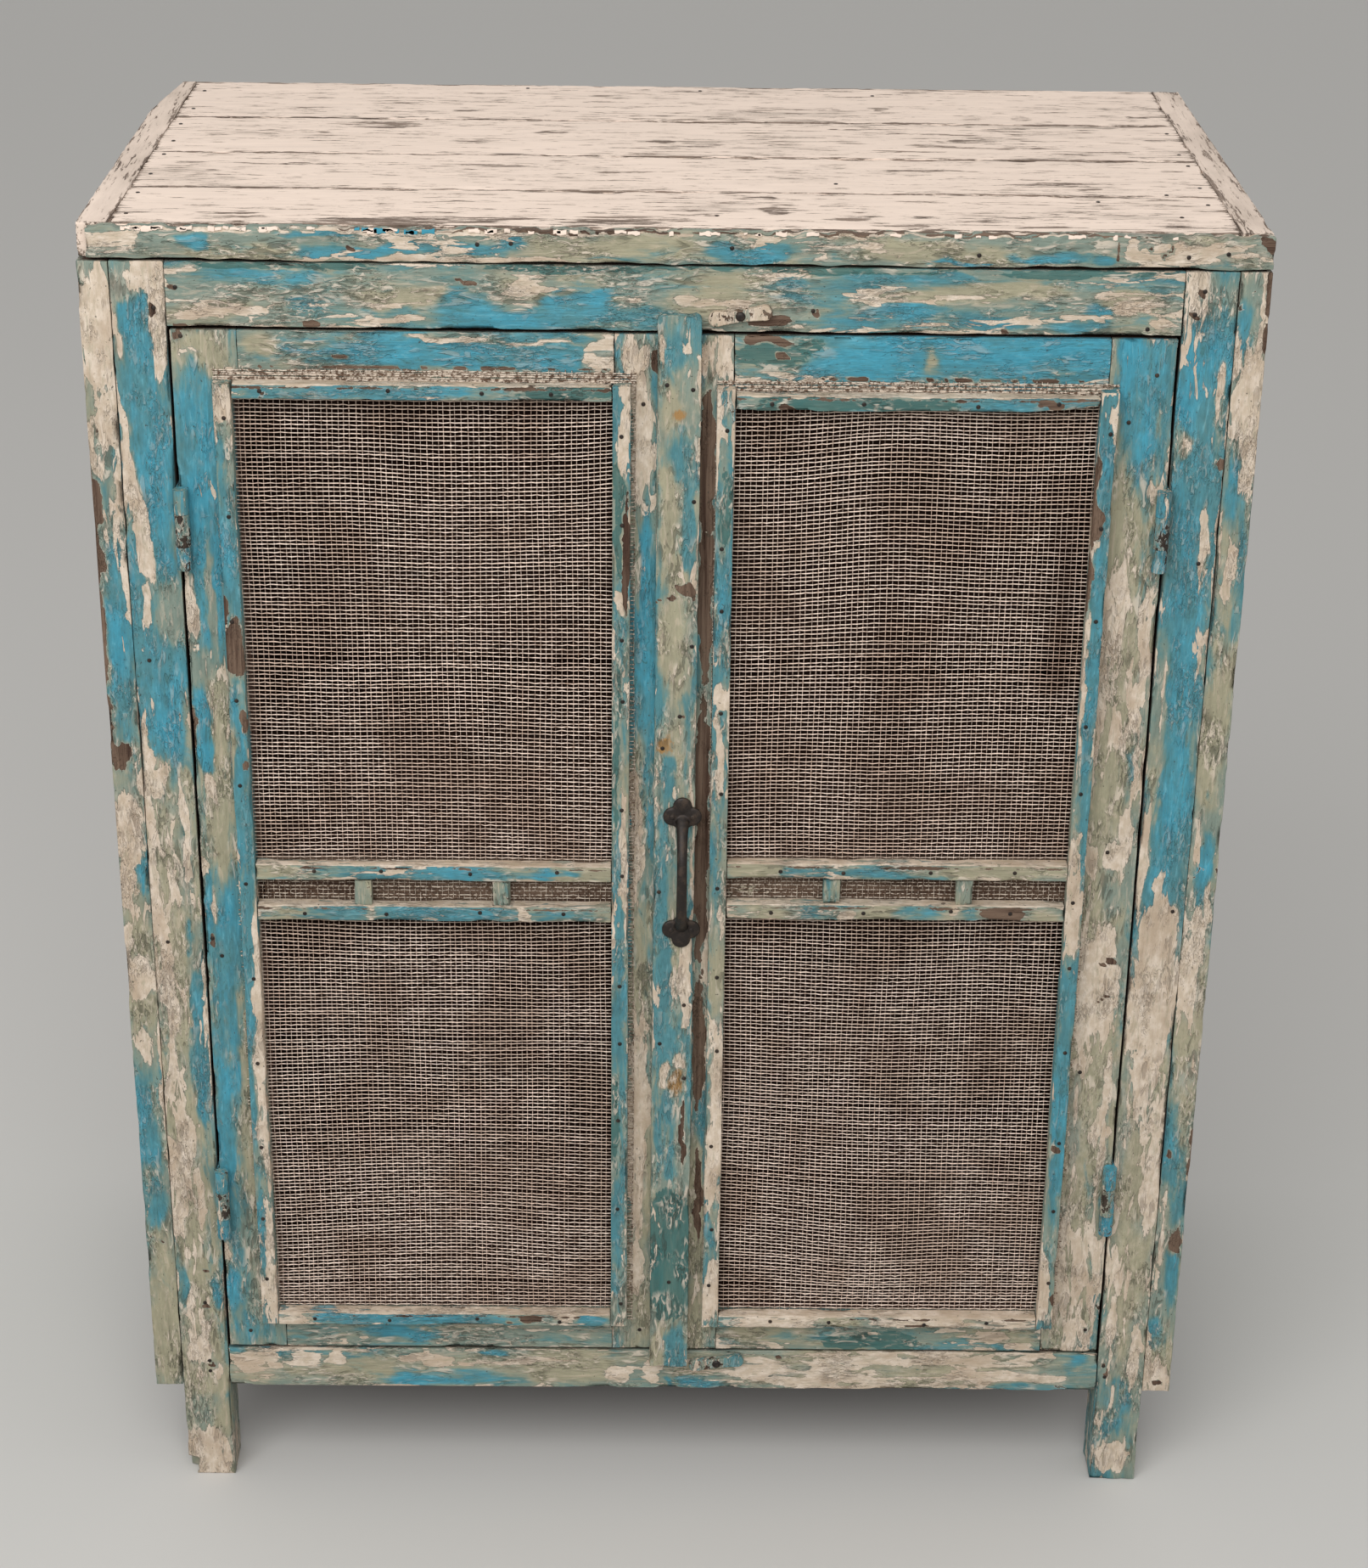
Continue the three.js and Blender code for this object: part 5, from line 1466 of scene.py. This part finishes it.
class CUPBOARD_OT_top(bpy.types.Operator):
    """Build the boards, the end cleats and the front lath of the top."""

    bl_idname = "cupboard.top"
    bl_label = "Top"

    def execute(self, context):
        scene = context.scene
        wash = whitewash_material(scene.cupboard_paint)
        wear = scene.cupboard_wear
        boards = [(f"top_board_{i}", X, TOP_COAT, None) for i in (1, 2, 3, 4)]
        cleats = [("top_left_cleat", Y, CLEAT_COAT, tapered_cleat),
                  ("top_right_cleat", Y, CLEAT_COAT, None)]
        for node, grain, coat, shape in boards + cleats:
            low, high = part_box(node)
            if grain == X:
                low, high = low + TOP_JOINT, high - TOP_JOINT
            part = worn_board(node, low, high, grain, wear, coat, {"bare": TOP_STREAKS}, on_top=True,
                              radius=TOP_RADIUS, shape=shape)
            add_piece("worn_" + node, mesh_of(node, *part), "case", wash, [node])
        paint = paint_material("Lath paint", scene.cupboard_paint, 0.8, dulled=0.05)
        low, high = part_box("top_front_lath")
        part = worn_board("top_front_lath", low, high, X, wear, LATH_COAT, LATH_MARKS, cell=LATH_CELL,
                          shape=ragged_lath)
        add_piece("worn_top_front_lath", mesh_of("top_front_lath", *part), "case", paint,
                  ["top_front_lath"])
        self.chips(low, high, wash)
        return {"FINISHED"}

    def chips(self, low, high, wash):
        """Flakes of whitewash and old paint that hang over the lath's upper front edge."""
        draw = np.random.default_rng(5)
        parts = []
        for _ in range(CHIP_COUNT):
            x = low.x + (high.x - low.x) * (0.03 + 0.9 * draw.uniform(0, 1) ** 1.5)
            half = draw.uniform(1.5, 5.5) * MM
            top = high.z - draw.uniform(0.2, 1.2) * MM
            start = np.array([x - half, low.y - 0.5 * MM, top - draw.uniform(1.6, 3.6) * MM])
            end = np.array([x + half, low.y + 3 * MM, top])
            points, faces, _ = board_grid(start, end, 0.4 * MM, 1.5 * MM)
            points[:, 2] += (smooth_noise(points, 3 * MM) - 0.5) * 2.4 * MM
            is_blue = BLUE_CHIPS_FROM < x < BLUE_CHIPS_TO and draw.uniform(0, 1) < BLUE_CHIP_SHARE
            blue = np.full(len(points), float(is_blue))
            place = grain_places(points, X, "chips")
            whole = np.full(len(points), -2.0)
            parts.append((points, faces, {"turquoise": blue, "bare": whole, "grain_place": place}))
        add_piece("lath_chips", mesh_of("lath_chips", *joined(parts)), "case", wash)


class CUPBOARD_OT_doors(bpy.types.Operator):
    """Build the stiles and rails of both doors."""

    bl_idname = "cupboard.doors"
    bl_label = "Door frames"

    def execute(self, context):
        paint = paint_material("Door paint", context.scene.cupboard_paint)
        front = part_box("left_door_hinge_stile")[0].y
        for door in DOORS:
            unpainted = behind({Y: front}, opening=door_opening(door))
            for member, grain in DOOR_MEMBERS:
                coat = PALE_STILE_COAT if (door, member) == ("right_door", "hinge_stile") else DOOR_COAT
                board_piece(context, f"{door}_{member}", door, grain, paint, "door_paint", coat,
                            radius=DOOR_RADIUS, unpainted=unpainted)
            board_piece(context, f"{door}_mid_rail", door, X, paint, "door_paint", MID_RAIL_COAT,
                        radius=MID_RAIL_RADIUS, unpainted=behind({Y: front}))
        return {"FINISHED"}


class CUPBOARD_OT_beads(bpy.types.Operator):
    """Build the beads round the netting and the battens across it."""

    bl_idname = "cupboard.beads"
    bl_label = "Beads and battens"

    def execute(self, context):
        scene = context.scene
        paint = paint_material("Bead paint", scene.cupboard_paint, 0.6, dulled=0.08)
        for door in DOORS:
            for bead, grain in DOOR_BEADS:
                node = f"{door}_{bead}"
                shape = warped_top_bead if node == "right_door_top_bead" else None
                board_piece(context, node, door, grain, paint, "bead_paint", BEAD_COAT, cell=BEAD_CELL,
                            radius=BEAD_RADIUS, shape=shape, pale_top=grain == X)
            self.battens(context, door, paint)
        return {"FINISHED"}

    def battens(self, context, door, paint):
        """The upper batten, and the lower one with the two blocks that stand on it."""
        wear = context.scene.cupboard_wear
        upper, lower = f"{door}_upper_batten", f"{door}_lower_batten"
        board_piece(context, upper, door, X, paint, "bead_paint", BATTEN_COAT, **BATTEN_FINISH)
        low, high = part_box(lower)
        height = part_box(upper)[1].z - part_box(upper)[0].z
        batten_high = Vector((high.x, high.y, low.z + height))
        parts = [worn_board(lower, low, batten_high, X, wear, BATTEN_COAT, FRONT_MARKS[lower],
                            **BATTEN_FINISH)]
        outer, inner = (low.x, high.x) if door == "left_door" else (high.x, low.x)
        for share in BLOCK_SHARES:
            middle = outer + share * (inner - outer)
            start = (middle - BLOCK_HALF_WIDTH, low.y + 2 * MM, batten_high.z - 1 * MM)
            end = (middle + BLOCK_HALF_WIDTH, high.y, high.z)
            parts.append(worn_board(f"{lower}{share}", start, end, Z, wear, BATTEN_COAT, cell=BEAD_CELL,
                                    radius=1 * MM))
        add_piece("worn_" + lower, mesh_of(lower, *joined(parts)), door, paint, [lower])


class CUPBOARD_OT_cover_strip(bpy.types.Operator):
    """Build the strip over the meeting of the doors."""

    bl_idname = "cupboard.cover_strip"
    bl_label = "Cover strip"

    def execute(self, context):
        paint = paint_material("Strip paint", context.scene.cupboard_paint, 0.8, dulled=0.26)
        board_piece(context, "cover_strip", "right_door", Z, paint, "strip_paint", STRIP_COAT,
                    cell=STRIP_CELL, shape=rounded_strip)
        return {"FINISHED"}


# Netting

# Darker places on a net: middle across, half width, and where each starts and ends up the net
DARK_PATCHES = {"right_door_upper_netting": [(342 * MM, 13 * MM, 870 * MM, 1000 * MM)]}
PATCH_FADE = 30 * MM
PATCH_DARKNESS = 0.55
WARP_DARKNESS = 0.35

# How far loose threads stand out of each part of a net: at the hinges, at the meeting, below and above
LOOSE_ENDS = {"lower": (4.5 * MM, 1 * MM, 2 * MM, 0.0), "upper": (1.5 * MM, 1 * MM, 0.0, 3 * MM)}
NET_MARGINS = {"left_door": 4 * MM, "right_door": 1 * MM}
HEM_HEIGHT = 11 * MM
HEM_PITCH = 2.4 * MM
HELD_REACH = 60 * MM
THREAD_LIFT = 0.42 * MM
THREAD_SIDES = np.array([(0, 1), (1, 0), (0, -1), (-1, 0)])
WEFT_DEPTH_SHARE = 1.8
WARP_DEPTH_SHARE = 2.5


def wavy(x, z, seed):
    """How far the netting has been pulled out of true at each crossing, across and up."""
    points = np.stack([x.ravel(), np.zeros(x.size), z.ravel()], axis=1)
    slow = smooth_noise(points, 95 * MM, seed) - 0.5
    slower = smooth_noise(points * [1, 1, 0.6], 210 * MM, seed + 5) - 0.5
    sideways = smooth_noise(points * [1, 1, 0.4], 60 * MM, seed + 9) - 0.5
    up = slow * 5 * MM + slower * 13 * MM
    return sideways.reshape(x.shape) * 3.2 * MM, up.reshape(x.shape)


def thread_tubes(centres, radii, side, depth_share):
    """Four-sided tubes along rows of centres; side is the axis across the threads in the net's plane."""
    threads, steps = radii.shape
    ring = np.zeros((4, 3))
    ring[:, side] = THREAD_SIDES[:, 0]
    ring[:, Y] = THREAD_SIDES[:, 1] * depth_share
    points = centres[:, :, None, :] + ring * radii[:, :, None, None]
    number = np.arange(threads * steps * 4).reshape(threads, steps, 4)
    near, far = number[:, :-1], number[:, 1:]
    walls = np.stack([near, np.roll(near, -1, 2), np.roll(far, -1, 2), far], axis=-1).reshape(-1, 4)
    faces = np.concatenate([walls, number[:, 0, ::-1], number[:, -1]])
    if side == X:
        faces = faces[:, ::-1]
    return points.reshape(-1, 3), faces


def painted_share(x, z, opening):
    """How much old paint lies on the threads: all of it outside the opening between the beads."""
    return smoothstep(-4 * MM, 4 * MM, outside_distance(x, z, opening))


def darkness(points, everywhere, patches):
    """How dark the threads are: the same everywhere, and darker on the listed patches."""
    dark = np.full(len(points), everywhere)
    for middle, half_width, bottom, top in patches:
        ragged = smooth_noise(points, 20 * MM, 2.0) * 0.8
        near = smoothstep(1.9, 0.4, np.abs(points[:, 0] - middle) / half_width + ragged)
        tall = smoothstep(bottom - PATCH_FADE, bottom, points[:, 2])
        tall = tall * smoothstep(top + PATCH_FADE, top, points[:, 2])
        dark = np.maximum(dark, PATCH_DARKNESS * near * tall)
    return dark


def woven_net(name, low, high, y, netting, ends, opening):
    """Level and upright threads woven over and under each other between two corners.

    The ends say how far loose threads stand out at the left, right, lower and upper edge.
    """
    seed = seed_of(name)
    draw = np.random.default_rng(seed)
    left, right, lower, upper = ends
    columns = round((high.x - low.x) / netting.warp_pitch)
    across = np.linspace(low.x, high.x, columns) + draw.normal(0, 0.35 * MM, columns)
    up = np.linspace(low.z, high.z, round((high.z - low.z) / netting.weft_pitch))
    if upper:
        up = np.concatenate([up, np.arange(high.z - HEM_HEIGHT, high.z, HEM_PITCH)])
    up = np.sort(up + draw.normal(0, 0.25 * MM, len(up)))
    rows = len(up)
    x, z = np.meshgrid(across, up)
    drift_x, drift_z = wavy(x, z, seed % 50)
    held = smoothstep(0, HELD_REACH, np.minimum(z - low.z, high.z - z))
    x = x + drift_x * held
    z = z + drift_z * held + draw.normal(0, 0.16 * MM, x.shape)
    over = np.where((np.arange(rows)[:, None] + np.arange(columns)) % 2, THREAD_LIFT, -THREAD_LIFT)

    weft_radii = netting.weft_radius * (1 + 0.16 * draw.normal(0, 1, x.shape)).clip(0.6, 1.6)
    weft_radii *= draw.uniform(0.88, 1.14, rows)[:, None]
    if upper:
        weft_radii *= 1 + 0.3 * (up > high.z - HEM_HEIGHT)[:, None]
    weft = np.stack([x, y + over, z], axis=-1)
    weft[:, 0, 0] -= draw.uniform(0, 1, rows) * left
    weft[:, -1, 0] += draw.uniform(0, 1, rows) * right
    warp_radii = netting.warp_radius * (1 + 0.2 * draw.normal(0, 1, x.shape)).clip(0.5, 1.7)
    warp_radii *= draw.uniform(0.7, 1.3, columns)[None, :]
    warp = np.stack([x, y - over, z], axis=-1)
    warp[-1, :, 2] += draw.uniform(0.1, 1, columns) * upper
    warp[0, :, 2] -= draw.uniform(0.1, 1, columns) * lower

    parts = []
    sorts = ((weft, weft_radii, Z, WEFT_DEPTH_SHARE, 0.0),
             (warp.transpose(1, 0, 2), warp_radii.T, X, WARP_DEPTH_SHARE, WARP_DARKNESS))
    for centres, radii, side, depth_share, everywhere in sorts:
        points, faces = thread_tubes(centres, radii, side, depth_share)
        painted = painted_share(points[:, 0], points[:, 2], opening)
        dim = darkness(points, everywhere, DARK_PATCHES.get(name, ()))
        parts.append((points, faces, {"painted": painted, "dim": dim}))
    return joined(parts)


class CUPBOARD_OT_netting(bpy.types.Operator):
    """Weave the netting of both doors, each in an upper and a lower part that meet behind the battens."""

    bl_idname = "cupboard.netting"
    bl_label = "Netting"

    def execute(self, context):
        scene = context.scene
        material = netting_material(scene.cupboard_paint)
        for door in DOORS:
            low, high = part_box(f"{door}_net")
            bead_low, bead_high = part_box(f"{door}_meeting_bead")
            if door == "right_door":
                low.x = bead_low.x + NET_MARGINS[door]
            else:
                high.x = bead_high.x + NET_MARGINS[door]
            bottom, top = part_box(f"{door}_lower_batten")[0].z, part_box(f"{door}_upper_batten")[1].z
            middle = (bottom + top) / 2
            y = (low.y + high.y) / 2
            floor, ceiling = door_opening(door)
            openings = {"lower": (floor, Vector((ceiling.x, 0, bottom))),
                        "upper": (Vector((floor.x, 0, top)), ceiling)}
            for part, start, end in (("lower", low.z, middle), ("upper", middle, high.z)):
                name = f"{door}_{part}_netting"
                hinge_end, meeting_end, *other_ends = LOOSE_ENDS[part]
                side_ends = (hinge_end, meeting_end) if door == "left_door" else (meeting_end, hinge_end)
                net = woven_net(name, Vector((low.x, y, start)), Vector((high.x, y, end)), y,
                                scene.cupboard_netting, (*side_ends, *other_ends), openings[part])
                piece = add_piece(name, mesh_of(name, *net), door, material, [f"{door}_net"])
        return {"FINISHED"}


# Ironwork

# How wide the rings of a head are and how high each lies, as shares of its radius and height
HEAD_RINGS = ((1.0, -0.6), (1.0, 0.25), (0.75, 0.75), (0.35, 0.97))
HEAD_SIDES = 12
HEAD_ROOT = 0.6
NAIL_PITCH = 86 * MM
AHEAD = (0, -1, 0)


def dome(middle, along, radius, height):
    """A low round head that stands on a surface, as points and quads closed by thin wedges."""
    along = Vector(along).normalized()
    across = along.orthogonal().normalized()
    other = along.cross(across)
    points = []
    for spread, rise in HEAD_RINGS:
        for i in range(HEAD_SIDES):
            angle = 2 * math.pi * i / HEAD_SIDES
            out = (across * math.cos(angle) + other * math.sin(angle)) * radius * spread
            points.append(Vector(middle) + out + along * height * rise)
    points.append(Vector(middle) + along * height)
    points.append(Vector(middle) - along * height * HEAD_ROOT)
    crown, root = len(points) - 2, len(points) - 1
    last = (len(HEAD_RINGS) - 1) * HEAD_SIDES
    sides = [(i, (i + 1) % HEAD_SIDES) for i in range(HEAD_SIDES)]
    faces = []
    for near in range(0, last, HEAD_SIDES):
        far = near + HEAD_SIDES
        faces.extend((near + i, near + j, far + j, far + i) for i, j in sides)
    for i, j in sides:
        faces.append((last + i, last + j, crown))
        faces.append((j, i, root))
    return points, faces


def heads_piece(name, body, places, along, radius, height, material):
    """Many nail or screw heads as one piece."""
    points, faces = [], []
    for place in places:
        head_points, head_faces = dome(place, along, radius, height)
        start = len(points)
        points.extend(head_points)
        faces.extend(tuple(start + i for i in face) for face in head_faces)
    mesh = bpy.data.meshes.new(name)
    mesh.from_pydata(points, [], faces)
    mesh.polygons.foreach_set("use_smooth", np.ones(len(mesh.polygons), bool))
    return add_piece(name, mesh, body, material)


class CUPBOARD_OT_nails(bpy.types.Operator):
    """Drive the nails of the case, the top, the doors and the beads."""

    bl_idname = "cupboard.nails"
    bl_label = "Nails"

    radius: bpy.props.FloatProperty(
        name="Radius", description="Half width of a head", subtype="DISTANCE", default=1.9 * MM)
    height: bpy.props.FloatProperty(
        name="Height", description="Rise of a head", subtype="DISTANCE", default=0.5 * MM)

    def execute(self, context):
        iron = iron_material(context.scene.cupboard_paint)
        faces = {door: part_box(f"{door}_hinge_stile")[0].y for door in DOORS}
        faces.update(case=FRONT, cover_strip=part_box("cover_strip")[0].y)
        sorts = []
        for carrier, spots in FRONT_NAILS.items():
            places = [(x * MM, faces[carrier], z * MM) for x, z in spots]
            if carrier in DOORS:
                places += self.bead_places(carrier)
            body = "right_door" if carrier == "cover_strip" else carrier
            sorts.append((carrier, body, places, AHEAD))
        sorts.append(("top", "case", [(x * MM, FRONT + y * MM, TOP) for x, y in TOP_NAILS], (0, 0, 1)))
        for node, out in (("left_side", (-1, 0, 0)), ("right_side", (1, 0, 0)), ("back_panel", (0, 1, 0))):
            sorts.append((node, "case", self.panel_places(node, out), out))
        for name, body, places, out in sorts:
            heads_piece(f"{name}_nails", body, places, out, self.radius, self.height, iron)
        return {"FINISHED"}

    def panel_places(self, node, out):
        """Two nails a plank, over the ledgers of a side or over the posts of the back."""
        low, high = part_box(node)
        middle = (low + high) / 2
        if node == "back_panel":
            across, along, count = Z, X, BACK_BOARDS
            carriers = ("back_left_post", "back_right_post")
        else:
            across, along, count = Y, Z, SIDE_PLANKS
            carriers = ("left_floor_ledger", "left_shelf_ledger")
        rows = [(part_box(carrier)[0][along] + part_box(carrier)[1][along]) / 2 for carrier in carriers]
        if along == Z:
            rows.append(high.z - 20 * MM)
        places = []
        for row, i, share in itertools.product(rows, range(count), (0.2, 0.8)):
            place = middle + Vector(out) * abs(Vector(out).dot(high - low)) / 2
            place[along] = row
            place[across] = low[across] + (i + share) * (high[across] - low[across]) / count
            places.append(place)
        return places

    def bead_places(self, door):
        """Nails at even steps along each bead and batten, a little off their middle line."""
        places = []
        draw = np.random.default_rng(seed_of(door))
        for member in (*(bead for bead, _ in DOOR_BEADS), "upper_batten", "lower_batten"):
            low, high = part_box(f"{door}_{member}")
            axis, aside = (Z, X) if high.z - low.z > high.x - low.x else (X, Z)
            length = high[axis] - low[axis]
            count = round(length / NAIL_PITCH)
            for i in range(count):
                middle = (low + high) / 2
                middle.y = low.y
                if member == "lower_batten":
                    middle.z = low.z + 8 * MM
                middle[axis] = low[axis] + (i + 0.5 + draw.uniform(-0.2, 0.2)) * length / count
                middle[aside] += draw.uniform(-2, 2) * MM
                places.append(middle)
        return places


# Plates of the pull in millimetres: across, towards the tip and radius of each lobe
PULL_LOBES = ((-8.4, 0, 9.2), (8.4, 0, 9.2), (0, 10, 8.7), (0, -4.5, 9))
PLATE_FROM_TIP = 18.6 * MM
PLATE_THICKNESS = 4.6 * MM
BAR_STEPS = 36
BAR_SIDES = 16
BAR_DEPTH = 4.2 * MM
BAR_SEAT = 1.6 * MM
BAR_INSET = 5.8 * MM
BAR_SHORTENING = 2 * MM
BOW_POWER = 2.6
SCREW_ASIDE = 9 * MM
SCREW_SEAT = 3.9 * MM


def remeshed(piece, voxel, smoothing):
    """Melts a piece's parts into one skin with soft corners."""
    remesh = piece.modifiers.new("skin", "REMESH")
    remesh.mode = "VOXEL"
    remesh.voxel_size = voxel
    remesh.use_smooth_shade = True
    smooth = piece.modifiers.new("soften", "SMOOTH")
    smooth.factor = 0.5
    smooth.iterations = smoothing
    bpy.context.view_layer.update()
    graph = bpy.context.evaluated_depsgraph_get()
    mesh = bpy.data.meshes.new_from_object(piece.evaluated_get(graph))
    piece.modifiers.clear()
    piece.data = mesh


class CUPBOARD_OT_pull(bpy.types.Operator):
    """Cast the iron pull: two trefoil plates and a bowed bar, with their screws."""

    bl_idname = "cupboard.pull"
    bl_label = "Pull"

    def execute(self, context):
        iron = iron_material(context.scene.cupboard_paint)
        low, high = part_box("pull_handle")
        middle_x = (low.x + high.x) / 2
        back = high.y
        form = bmesh.new()
        ends = []
        for up, tip in ((1, high.z), (-1, low.z)):
            plate = tip - up * PLATE_FROM_TIP
            ends.append(plate)
            for x, z, radius in PULL_LOBES:
                middle = Vector((middle_x + x * MM, back, plate + up * z * MM))
                self.lobe(form, middle, radius * MM, PLATE_THICKNESS)
        self.bar(form, middle_x, back, ends, low.y)
        mesh = bpy.data.meshes.new("pull")
        form.to_mesh(mesh)
        form.free()
        piece = add_piece("iron_pull", mesh, "right_door", iron, ["pull_handle"])
        remeshed(piece, 0.7 * MM, 4)
        places = [(middle_x + side * SCREW_ASIDE, back - SCREW_SEAT, z) for z in ends for side in (-1, 1)]
        heads_piece("pull_screws", "right_door", places, AHEAD, 2.6 * MM, 0.9 * MM, iron)
        return {"FINISHED"}

    def lobe(self, form, middle, radius, thickness):
        """A flat-backed dome: a squashed ball sunk into a thin disc."""
        size = Matrix.Diagonal((radius, thickness * 0.5, radius, 1))
        ball = Matrix.Translation(middle - Vector((0, thickness * 0.42, 0))) @ size
        bmesh.ops.create_uvsphere(form, u_segments=28, v_segments=16, radius=1, matrix=ball)
        disc = Matrix.Translation(middle - Vector((0, 0.9 * MM, 0))) @ Matrix.Rotation(math.pi / 2, 4, "X")
        bmesh.ops.create_cone(form, cap_ends=True, segments=28, radius1=radius, radius2=radius * 0.96,
                              depth=1.8 * MM, matrix=disc)

    def bar(self, form, x, back, ends, reach):
        """A bar that leaves the plates with a wide neck and bows forward."""
        upper, lower = ends
        rings = []
        for i in range(BAR_STEPS + 1):
            share = i / BAR_STEPS
            off = 2 * share - 1
            y = back - BAR_SEAT - (1 - abs(off) ** BOW_POWER) * (back - reach - BAR_INSET)
            z = upper - BAR_SHORTENING + (lower - upper + 2 * BAR_SHORTENING) * share
            wide = (5.0 + 2.0 * abs(off) ** 5 - 0.5 * (1 - share)) * MM
            tilt = math.atan(-0.5 * BOW_POWER * abs(off) ** (BOW_POWER - 1) * math.copysign(1, off))
            ring = []
            for j in range(BAR_SIDES):
                angle = 2 * math.pi * j / BAR_SIDES
                side, face = math.cos(angle) * wide, math.sin(angle) * BAR_DEPTH
                ring.append(form.verts.new((x + side, y - face * math.cos(tilt), z + face * math.sin(tilt))))
            rings.append(ring)
        for near, far in zip(rings, rings[1:]):
            for j in range(BAR_SIDES):
                k = (j + 1) % BAR_SIDES
                form.faces.new((near[j], near[k], far[k], far[j]))
        form.faces.new(rings[0][::-1])
        form.faces.new(rings[-1])
        bmesh.ops.recalc_face_normals(form, faces=form.faces[:])


def repaint(node, material, rounding, segments):
    """Gives a frame node that stays in use its paint and rounded arrises."""
    node.data.materials.clear()
    node.data.materials.append(material)
    bevel = node.modifiers.new("worn arrises", "BEVEL")
    bevel.width = rounding
    bevel.segments = segments


BUTTON_ROUNDING, BUTTON_SEGMENTS = 0.9 * MM, 3
LEAF_ROUNDING, LEAF_SEGMENTS = 0.5 * MM, 2


class CUPBOARD_OT_turn_buttons(bpy.types.Operator):
    """Finish the two turn buttons and their screws."""

    bl_idname = "cupboard.turn_buttons"
    bl_label = "Turn buttons"

    def execute(self, context):
        paint = context.scene.cupboard_paint
        iron = iron_material(paint)
        for node, coat in BUTTON_COATS.items():
            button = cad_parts[node]
            coated = paint_material(node.replace("_", " "), paint, 0.5, coat)
            repaint(button, coated, BUTTON_ROUNDING, BUTTON_SEGMENTS)
            low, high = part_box(node)
            middle = (low + high) / 2
            middle.y = low.y
            heads_piece(f"{node}_screw", "case", [middle], AHEAD, 4.2 * MM, 1.6 * MM, iron)
        return {"FINISHED"}


class CUPBOARD_OT_hinges(bpy.types.Operator):
    """Finish the hinge leaves in iron that has been painted over."""

    bl_idname = "cupboard.hinges"
    bl_label = "Hinges"

    def execute(self, context):
        paint = context.scene.cupboard_paint
        for name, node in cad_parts.items():
            for sort, coat in LEAF_COATS.items():
                if name.endswith(sort):
                    coated = paint_material("Painted " + sort.replace("_", " "), paint, 0.5, coat,
                                            on_iron=True)
                    repaint(node, coated, LEAF_ROUNDING, LEAF_SEGMENTS)
        return {"FINISHED"}


# Panel and registration

class CUPBOARD_PT_panel(bpy.types.Panel):
    """Buttons that build the cupboard piece by piece."""

    bl_idname = "CUPBOARD_PT_panel"
    bl_label = "Jelly cupboard"
    bl_space_type = "VIEW_3D"
    bl_region_type = "UI"
    bl_category = "Cupboard"

    def draw(self, context):
        for step in STEPS:
            self.layout.operator(step.bl_idname)
        for settings in SETTINGS:
            box = self.layout.box()
            group = getattr(context.scene, settings)
            for key in group.__annotations__:
                box.prop(group, key)


STEPS = (CUPBOARD_OT_stage, CUPBOARD_OT_case, CUPBOARD_OT_inside, CUPBOARD_OT_top, CUPBOARD_OT_doors,
         CUPBOARD_OT_beads, CUPBOARD_OT_cover_strip, CUPBOARD_OT_netting, CUPBOARD_OT_pull,
         CUPBOARD_OT_turn_buttons, CUPBOARD_OT_hinges, CUPBOARD_OT_nails)
SETTINGS = {"cupboard_paint": CupboardPaint, "cupboard_wear": CupboardWear,
            "cupboard_netting": CupboardNetting, "cupboard_studio": CupboardStudio}


def register():
    for kind in (*SETTINGS.values(), *STEPS, CUPBOARD_PT_panel):
        bpy.utils.register_class(kind)
    for name, kind in SETTINGS.items():
        setattr(bpy.types.Scene, name, bpy.props.PointerProperty(type=kind))


def unregister():
    for name in SETTINGS:
        delattr(bpy.types.Scene, name)
    for kind in reversed((*SETTINGS.values(), *STEPS, CUPBOARD_PT_panel)):
        bpy.utils.unregister_class(kind)


def main():
    register()
    for step in STEPS:
        getattr(bpy.ops.cupboard, step.bl_idname.split(".")[1])()


if __name__ == "__main__":
    main()
